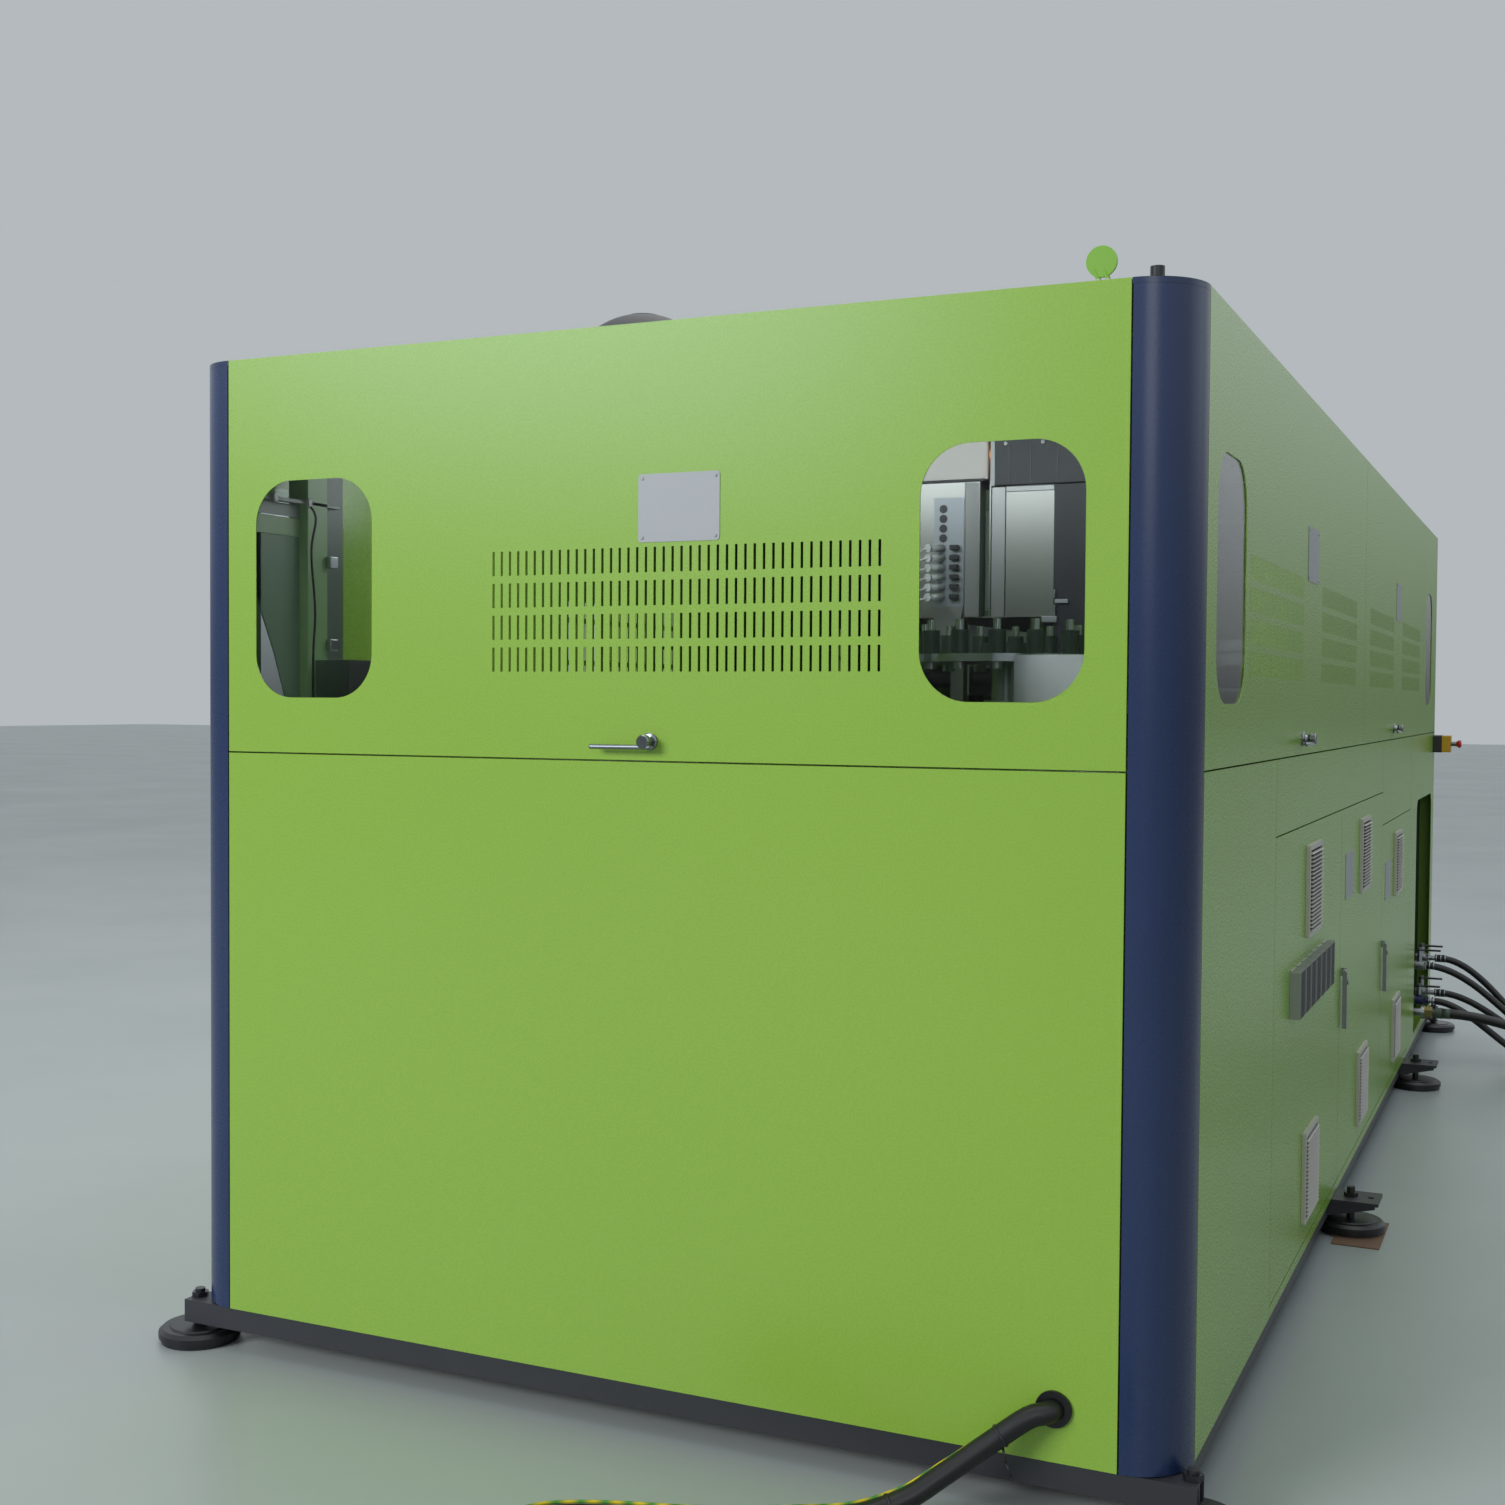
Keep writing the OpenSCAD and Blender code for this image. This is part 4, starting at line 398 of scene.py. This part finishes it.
louvre_r, lower_z = 0.0885, 0.267
for name, y, upper_z in (("louvres_door_1", -1.1139, 0.905), ("louvres_door_2", -0.0803, 0.905),
                         ("louvres_door_3", 0.8926, 0.805)):
    zones = []
    for z in (lower_z, upper_z):
        inner = {"y": (y - louvre_r, y + louvre_r), "z": (z - louvre_r, z + louvre_r)}
        # Painted shade: deeper than the rim the slats are greyer, and deepest in the gaps are near black.
        zones += [(dict(inner, x=(0.98, 1.0112)), "#8b8982", 0.5, 0.0),
                  (dict(inner, x=(0.98, 1.0085)), "#201f1d", 0.7, 0.0)]
    lay(zoned(name + "_plastic", "#c6c3ba", 0.45, 0.0, zones), name)

# Roof skin. Green powder coat as on the cabin. Its four rounded corners are the caps of the posts and have
# their blue.
lay(zoned("roof_paint", "#88b142", 0.27, 0.0, [
    ({"x": x, "y": y}, "#1c2e52", 0.26, 0.0) for x in ((-1.01, -0.8985), (0.8985, 1.01))
    for y in ((-2.51, -2.3985), (2.3985, 2.51))]), "roof_panel")

# Lamp boxes. Folded stainless sheet with large soft waves. The plate for the connectors, riveted on the near
# box, is duller.
lay(zoned("lamp_box_steel", "#8f918c", 0.34, 1.0, [
    ({"y": (-1.5095, -1.5004), "x": (0.2, 0.31)}, "#8d9397", 0.4, 0.6)],
    grain=60, depth=0.0004, strength=0.1), "oven_boxes")

# Heat sinks. Seven grey castings screwed to cabinet door 1. The grooves are painted dark as shade, and the
# first fin and the top of each are painted lighter as highlights.
first_sink, sink_pitch, sink_n = -1.434, 0.0825, 7
# Painted highlight on the first fin of each sink, painted shade in the grooves and painted highlight on the
# tops.
painted_highlight_fins = [({"y": (y - 0.002, y + 0.012)}, "#9b9c99", 0.4, 0.3)
               for y in [first_sink + sink_pitch * k for k in range(sink_n)]]
lay(zoned("heat_sink", "#5b5f61", 0.42, 0.4, [
    ({"x": (0.99, 1.0072)}, "#33363a", 0.5, 0.4), *painted_highlight_fins,
    ({"z": (0.7545, 0.77)}, "#b3b7b2", 0.35, 0.3)]), "heat_sinks")

# Roof fittings. A green painted disc stands on slanted legs of plain sheet, which are screwed to the roof
# skin. Beside it is a moulded black knob.
lay(zoned("roof_fittings", "#b9bcb8", 0.45, 0.0, [
    ({"z": (2.0185, 2.12), "x": (0.7, 0.86)}, "#7cae3c", 0.4, 0.0),
    ({"x": (0.875, 0.93)}, "#1c1d1f", 0.4, 0.0)]), "roof_fittings")

# Stop station. A moulded black base is screwed to the right side near the rear post and closed by a yellow
# cover. The red mushroom button sits on a metal collar in it.
lay(zoned("stop_station", "#dba417", 0.36, 0.0, [({"x": (0.9, 1.0342)}, "#1b1b1c", 0.42, 0.0)]), "estop_box")
lay(zoned("stop_button", "#c22019", 0.28, 0.0, [({"x": (0.9, 1.0868)}, "#6a6c6e", 0.35, 0.8)]),
    "estop_button")

# Levelling feet. Black moulded pads with dark steel studs and nuts, which hang in the brackets of the base
# frame. A rusty steel shim lies under the first middle foot on the right.
lay(zoned("levelling_feet", "#1a1b1d", 0.4, 0.1, [
    ({"z": (-0.01, 0.0042), "y": (-0.77, -0.5), "x": (1.0, 1.13)}, "#7d6350", 0.75, 0.2),
    ({"z": (0.0325, 0.2)}, "#3a3b3e", 0.34, 0.7)]), "levelling_feet")

# Star wheel. A bright steel plate that carries dark green sockets with bright mandrel tips. Hub, shaft and
# tails below it are duller.
lay(zoned("feed_wheel", "#b9bdc0", 0.2, 1.0, [
    ({"z": (1.4105, 1.4566)}, "#2c3a2d", 0.35, 0.3),
    ({"z": (1.30, 1.3952)}, "#8c9092", 0.3, 1.0)]), "feed_wheel")

# Valves. Steel ball valves on a green plate. The main port has a brass nut behind a grey-green sleeve, and
# the lower front valve a dark blue nut.
lay(zoned("valve_manifold", "#9fa3a5", 0.28, 1.0, [
    ({"x": (0.9, 0.985)}, "#33402f", 0.5, 0.1),
    ({"y": (1.68, 1.76), "x": (1.0315, 1.0585)}, "#8d8353", 0.34, 1.0),
    ({"y": (1.68, 1.76), "x": (1.0585, 1.13)}, "#4e5a4e", 0.5, 0.0),
    ({"y": (1.78, 1.82), "z": (0.196, 0.24), "x": (0.991, 1.045)}, "#1d2a52", 0.35, 0.1)]), "valve_manifold")

# Deck. A milled steel plate on the cage that carries the machine inside. The covers and the wheel's bearing
# stand on it and are brighter.
lay(zoned("deck", "#7f8486", 0.4, 0.9, [({"z": (1.2222, 1.42)}, "#9a9e9f", 0.36, 1.0)]), "deck")

# Panes. Clear polished sheet, fixed behind the window openings of the doors and panels. It has a faint
# green grey and mirrors softly.
pane, shader, add, link = material("pane")
shader.inputs["Base Color"].default_value = linear("#eef3f2")
shader.inputs["Roughness"].default_value = 0.03
shader.inputs["Transmission Weight"].default_value = 1.0
shader.inputs["IOR"].default_value = 1.22
lay(pane, "front_door_panes", "right_door_1_pane", "right_end_pane", "left_pane")


# Bare metal plates. Each is a thin sheet with rounded corners and four dome rivets, on a door. Nothing is
# printed on them.
def gathered(name, verts, faces, paint, body, round_by=0.0, smooth=False):
    """One piece from points and faces, riding on a body. Its edges can be rounded, and its four-sided
    faces shaded as one smooth surface."""
    mesh = bpy.data.meshes.new(name)
    mesh.from_pydata(verts, [], faces)
    mesh.materials.append(paint)
    if smooth:
        mesh.polygons.foreach_set("use_smooth", [len(f) == 4 for f in faces])
    piece = bpy.data.objects.new(name, mesh)
    scene.collection.objects.link(piece)
    if round_by:
        edge = piece.modifiers.new("edges", "BEVEL")
        edge.width, edge.segments, edge.limit_method = round_by, 2, "ANGLE"
    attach(piece, body)
    return piece


def band(first, n):
    """The faces between a ring of n points, numbered from first on, and the ring that follows it."""
    return [[first + i, first + (i + 1) % n, first + n + (i + 1) % n, first + n + i] for i in range(n)]


half_l, half_h, corner_r, sheet_t, wall_gap = 0.08, 0.06, 0.006, 0.0012, 0.0002
rivet_in, rivet_sides = 0.008, 12
rivet_rings = ((0.0034, sheet_t), (0.0032, sheet_t + 0.0009), (0.0021, sheet_t + 0.0017))
outline = [(sa * (half_l - corner_r) + corner_r * math.cos(t),
            sb * (half_h - corner_r) + corner_r * math.sin(t))
           for sa, sb, quarter in ((1, 1, 0), (-1, 1, 1), (-1, -1, 2), (1, -1, 3))
           for t in [(quarter + k / 5) * math.pi / 2 for k in range(6)]]
n = len(outline)
flat = [(a, out, b) for out in (wall_gap, sheet_t) for a, b in outline]
faces = band(0, n) + [list(range(n))[::-1], list(range(n, 2 * n))]
for sa in (-1, 1):
    for sb in (-1, 1):
        first = len(flat)
        for ring_r, out in rivet_rings:
            flat += [(sa * (half_l - rivet_in) + ring_r * math.cos(k * math.pi / 6), out,
                      sb * (half_h - rivet_in) + ring_r * math.sin(k * math.pi / 6))
                     for k in range(rivet_sides)]
        faces += band(first, rivet_sides) + band(first + rivet_sides, rivet_sides)
        faces.append(list(range(first + 2 * rivet_sides, first + 3 * rivet_sides)))
plate_metal = finish("plate_metal", "#a3a6a8", 0.45, metal=0.2, grain=260, depth=0.0001, strength=0.08,
                     stretch=(1, 1, 12), second="#a8abad")
for name, body, (x, y, z), side_on in [
    ("front_plate", "front_door", (0.105, -2.5, 1.655), False),
    ("door_1_plate", "right_door_1", (1.0, -1.175, 1.645), True),
    ("door_2_plate", "right_door_2", (1.0, 0.82, 1.645), True),
    ("cabinet_2_plate", "cabinet_door_2", (1.0, -0.415, 0.875), True),
    ("cabinet_3_plate", "cabinet_door_3", (1.0, 0.6, 0.773), True),
]:
    if side_on:
        verts = [(x + out, y + a, z + b) for a, out, b in flat]
    else:
        verts = [(x + a, y - out, z + b) for a, out, b in flat]
    gathered(name, verts, faces, plate_metal, body)


# Earth wire and ties. A yellow and green wire runs along the conduit and is held by two black cable ties.
# The one outside the grommet has a loose tail.
def rods(name, runs, paint, body, sides=20):
    """One piece of many round rods, each given as two ends and the radius at each."""
    verts, faces = [], []
    for start, end, start_r, end_r in runs:
        start, end = Vector(start), Vector(end)
        way = (end - start).normalized()
        u = way.orthogonal().normalized()
        v = way.cross(u)
        first = len(verts)
        for middle, r in ((start, start_r), (end, end_r)):
            verts += [tuple(middle + r * (math.cos(t) * u + math.sin(t) * v))
                      for t in [2 * math.pi * k / sides for k in range(sides)]]
        ring = list(range(first, first + sides))
        faces += band(first, sides) + [ring[::-1], [k + sides for k in ring]]
    return gathered(name, verts, faces, paint, body, smooth=True)


wire_away, wire_from, wire_to = 0.0212, 4, 118
side_way = np.cross(np.gradient(conduit_line, axis=0), [0, 0, 1.0])
side_way /= np.linalg.norm(side_way, axis=1)[:, None]
turns = np.linspace(0.3, 2.4, len(conduit_line))[:, None]
wire_line = conduit_line + wire_away * (np.cos(turns) * side_way + np.sin(turns) * np.array([0, 0, 1.0]))
wire = cord_curve("earth_wire", wire_line[wire_from:wire_to], 0.006, 4)
stripes, shader, add, link = material("earth_wire")
coords = add("ShaderNodeTexCoord")
wave = add("ShaderNodeTexWave", Scale=9.0)
tone = add("ShaderNodeMix", data_type="RGBA")
set_inputs(tone, 6, linear("#d9c21e"), linear("#3d8a33"))
link(coords.outputs["Object"], wave.inputs["Vector"])
link(wave.outputs[0], tone.inputs[0])
link(tone.outputs[2], shader.inputs["Base Color"])
shader.inputs["Roughness"].default_value = 0.4
wire.data.materials.append(stripes)
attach(wire, "cabin")

tie_at, tie_w, tie_r = (9, 26), 0.0045, 0.0196
ties = []
for k in tie_at:
    start, end = conduit_line[k], conduit_line[k + 1]
    ties.append((start, start + tie_w * (end - start) / np.linalg.norm(end - start), tie_r, tie_r))
knot = conduit_line[tie_at[0]] + np.array([0.004, -0.006, -0.0185])
for step in ((0.006, -0.002, -0.022), (0.009, -0.002, -0.021)):
    ties.append((knot, knot + np.array(step), 0.0021, 0.0017))
    knot = knot + np.array(step)
rods("conduit_ties", ties, finishes["black_plastic"], "cabin", 24)

# Hose fittings. Silver worm clamps hold the hoses on their nozzles, three on each rear one, with black
# ferrules between them, and two on each front one. A grey-green sleeve covers the root of the main hose.
rear_nozzles = [row[2:4] for row in hose_rows[0:4:2]]
front_nozzles = [row[2:4] for row in hose_rows[1:4:2]]
main_y, main_z = hose_rows[4][2:4]
clamp_w, ferrule_r, sleeve_r = 0.007, 0.0138, 0.0186
rods("hose_clamps", [((x, y, z), (x + clamp_w, y, z), r, r)
                     for nozzles, places, r in ((rear_nozzles, (1.052, 1.068, 1.083), 0.0146),
                                                (front_nozzles, (1.036, 1.05), 0.0144))
                     for y, z in nozzles for x in places], finishes["bright_metal"], "cabin", 32)
rods("hose_ferrules", [((low, y, z), (high, y, z), ferrule_r, ferrule_r)
                       for low, high in ((1.0595, 1.0675), (1.0755, 1.0825)) for y, z in rear_nozzles],
     finishes["black_plastic"], "cabin", 32)
rods("main_sleeve", [((1.0925, main_y, main_z), (1.1207, main_y, main_z), sleeve_r, sleeve_r)],
     finish("sleeve", "#4e5a4e", 0.5), "cabin", 40)


# Inside the right front window: the lamp box. White ceramic plugs and black sockets stand in a column on the
# connector plate, below four empty sockets and above a stainless tongue. The plugs' wires hang down.
def boxes(name, spans, paint, body, round_by=0.0):
    """One piece of many boxes, each given as its low and high corner in metres."""
    verts, faces = [], []
    for low, high in spans:
        first = len(verts)
        verts += [(x, y, z) for x in (low[0], high[0]) for y in (low[1], high[1]) for z in (low[2], high[2])]
        faces += [[first + i for i in f] for f in ((0, 1, 3, 2), (4, 6, 7, 5), (0, 4, 5, 1), (2, 3, 7, 6),
                                                   (0, 2, 6, 4), (1, 5, 7, 3))]
    return gathered(name, verts, faces, paint, body, round_by)


def slab(name, outline, axis, ends, paint):
    """A sheet part of the cabin: an outline in the plane across the axis (0, 1 or 2), drawn out along it
    from one end to the other. Seen from the far end the outline runs counter-clockwise."""
    verts = [(*corner[:axis], end, *corner[axis:]) for end in ends for corner in outline]
    n = len(outline)
    return gathered(name, verts, [list(range(n))[::-1], list(range(n, 2 * n))] + band(0, n), paint, "cabin")


ceramic = finish("ceramic", "#c9cccd", 0.32, second="#b5b9bb")
hood_dark = finish("hood_dark", "#26282c", 0.42, 0.3, second="#2e3036")
duct_pale = finish("duct_pale", "#e6e0dd", 0.5)
copper = finish("copper", "#b5713f", 0.3, 0.9)
socket_n, empty_n, top_socket, socket_pitch = 10, 4, 1.743, 0.0215
plugs, sockets, wires = [], [], []
for k in range(empty_n, socket_n):
    z = top_socket - socket_pitch * k
    plugs.append(((0.252, -1.508, z), (0.236, -1.550, z - 0.003), 0.0085, 0.0075))
    plugs.append(((0.236, -1.550, z - 0.003), (0.234, -1.556, z - 0.0035), 0.0088, 0.0088))
    sockets.append(((0.273, -1.524, z - 0.0055), (0.292, -1.5085, z + 0.0055)))
    wires.append(((0.237, -1.549, z - 0.003), (0.206, -1.580, z - 0.014), 0.002, 0.002))
    wires.append(((0.206, -1.580, z - 0.014), (0.194, -1.585, 1.43), 0.002, 0.002))
rods("lamp_plugs", plugs, ceramic, "cabin", 18)
boxes("lamp_sockets", sockets, finishes["black_plastic"], "cabin", 0.0015)
rods("lamp_wires", wires, duct_pale, "cabin", 8)
slab("connector_tongue", [(0.232, 1.528), (0.302, 1.528), (0.296, 1.500), (0.268, 1.470), (0.262, 1.428),
                          (0.240, 1.428)], 1, (-1.508, -1.5045), finishes["stainless"])
slab("lamp_box_fold", [(0.304, -1.5002), (0.304, -1.512), (0.307, -1.513), (0.334, -1.5002)], 2,
     (1.505, 1.799), finishes["stainless"])

# Inside the right front window: the hood. Stainless strips frame the second box, dark sheet panels with
# folded seams and small lights stand above and beside it, and the block that carries the sockets is below.
boxes("oven_strips", [((0.363, -1.502, 1.503), (0.3935, -1.4985, 1.787)),
                      ((0.3955, -1.5035, 1.776), (0.5025, -1.5005, 1.787))],
      finishes["stainless"], "cabin", 0.0006)
boxes("hood_panels", [
    ((0.372, -1.512, 1.789), (0.640, -1.502, 1.9235)),
    ((0.505, -1.512, 1.330), (0.645, -1.502, 1.7875)),
    ((0.100, -1.500, 1.802), (0.346, -0.320, 1.808)),
    ((0.372, -1.450, 1.802), (0.532, -0.320, 1.812)),
    ((0.150, -1.560, 1.235), (0.330, -1.530, 1.300)),
    ((0.170, -1.575, 1.301), (0.215, -1.535, 1.420)),
], hood_dark, "cabin", 0.0015)
boxes("hood_seams", [((x, -1.5135, 1.792), (x + 0.0016, -1.5122, 1.921)) for x in (0.404, 0.452, 0.512)],
      finishes["machine_grey"], "cabin")

# Inside the right front window: duct and pipe. A pale air duct lies on the first box, with a copper pipe and
# a white edge strip at its corner, and three small lights sit in the hood.
boxes("air_duct", [((0.100, -1.470, 1.809), (0.344, -1.050, 1.9235))], duct_pale, "cabin", 0.004)
rods("copper_pipe", [((0.352, -1.476, 1.803), (0.350, -1.476, 1.923), 0.0052, 0.0052)], copper, "cabin", 20)
boxes("hood_edge", [((0.3605, -1.508, 1.789), (0.3705, -1.502, 1.9235))], ceramic, "cabin", 0.001)
rods("hood_lights", [((x, -1.517, 1.879), (x, -1.5121, 1.879), 0.004, 0.0055) for x in (0.397, 0.48, 0.565)],
     ceramic, "cabin", 18)

# Inside the right front window: strip and bracket. Between the boxes hangs a green strip, punched in
# staggered rows, and a small cast bracket sits at the edge of the dark panel.
boxes("perforated_strip", [((0.3362, -1.464, 1.505), (0.3625, -1.461, 1.787))], finishes["cage_green"],
      "cabin")
rods("connector_holes", [((0.254, -1.5091, top_socket - socket_pitch * k),
                          (0.254, -1.5083, top_socket - socket_pitch * k), 0.0092, 0.0092)
                         for k in range(empty_n)], finishes["black_plastic"], "cabin", 24)
hole_pitch, hole_r = 0.0044, 0.00125
holes = [(0.3395 + hole_pitch * i + hole_pitch / 2 * (j % 2), 1.522 + hole_pitch * j)
         for j in range(50) for i in range(5)]
rods("perforations", [((x, -1.4652, z), (x, -1.4641, z), hole_r, hole_r) for x, z in holes], ceramic,
     "cabin", 8)
boxes("lamp_bracket", [((0.5085, -1.520, 1.542), (0.5115, -1.5125, 1.560)),
                       ((0.511, -1.520, 1.531), (0.540, -1.5125, 1.539)),
                       ((0.5085, -1.520, 1.503), (0.5115, -1.5125, 1.528)),
                       ((0.482, -1.520, 1.490), (0.516, -1.512, 1.503))],
      finishes["alloy"], "cabin", 0.0008)

# Inside the left front window. A grey-green inner sheet with a slanted corner, pale bands and a rail with
# white clips above it, a green post with hinge brackets, and a black cable that hangs down the post.
sheet_green = finish("sheet_green", "#86a088", 0.4, second="#7c967f")
band_green = finish("band_green", "#a3bd92", 0.4)
slab("inner_sheet", [(-2.415, 1.69), (-2.28, 1.69), (-2.28, 1.30), (-2.318, 1.30), (-2.358, 1.408),
                     (-2.415, 1.527)], 0, (-0.9, -0.903), sheet_green)
boxes("inner_bands", [((-0.8995, -2.415, 1.652), (-0.8975, -2.28, 1.69))], band_green, "cabin", 0.0006)
# A darker grey-green lining right of the post. Its dark tone is partly painted shade.
boxes("inner_lining", [((-0.906, -2.2105, 1.2205), (-0.903, -2.13, 1.93))],
      finish("lining_grey_painted_shade", "#5c6b5e", 0.4), "cabin", 0.0006)
boxes("inner_rail", [((-0.899, -2.43, 1.7195), (-0.880, -2.17, 1.7275)),
                     ((-0.8995, -2.43, 1.692), (-0.8975, -2.28, 1.7185))],
      finish("rail_grey", "#9aa09c", 0.4), "cabin", 0.0008)
boxes("inner_post", [((-0.93, -2.277, 1.2205), (-0.88, -2.211, 1.928))],
      finish("post_inner", "#8fb27c", 0.4), "cabin", 0.002)
boxes("rail_clips", [((-0.8795, y - 0.006, 1.714), (-0.872, y + 0.006, 1.731)) for y in (-2.386, -2.277)],
      ceramic, "cabin", 0.001)
boxes("hinge_brackets", [((-0.8798, -2.216, z - 0.012), (-0.868, -2.19, z + 0.012)) for z in (1.604, 1.429)],
      finishes["alloy"], "cabin", 0.0015)
hang, _ = smooth_line([(-0.871, -2.279, 1.715), (-0.864, -2.270, 1.690), (-0.868, -2.280, 1.62),
                       (-0.868, -2.268, 1.5), (-0.868, -2.274, 1.40), (-0.870, -2.270, 1.2215)], 40)
cable = cord_curve("door_switch_cable", hang, 0.005, 4)
cable.data.materials.append(finishes["black_rubber"])
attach(cable, "cabin")
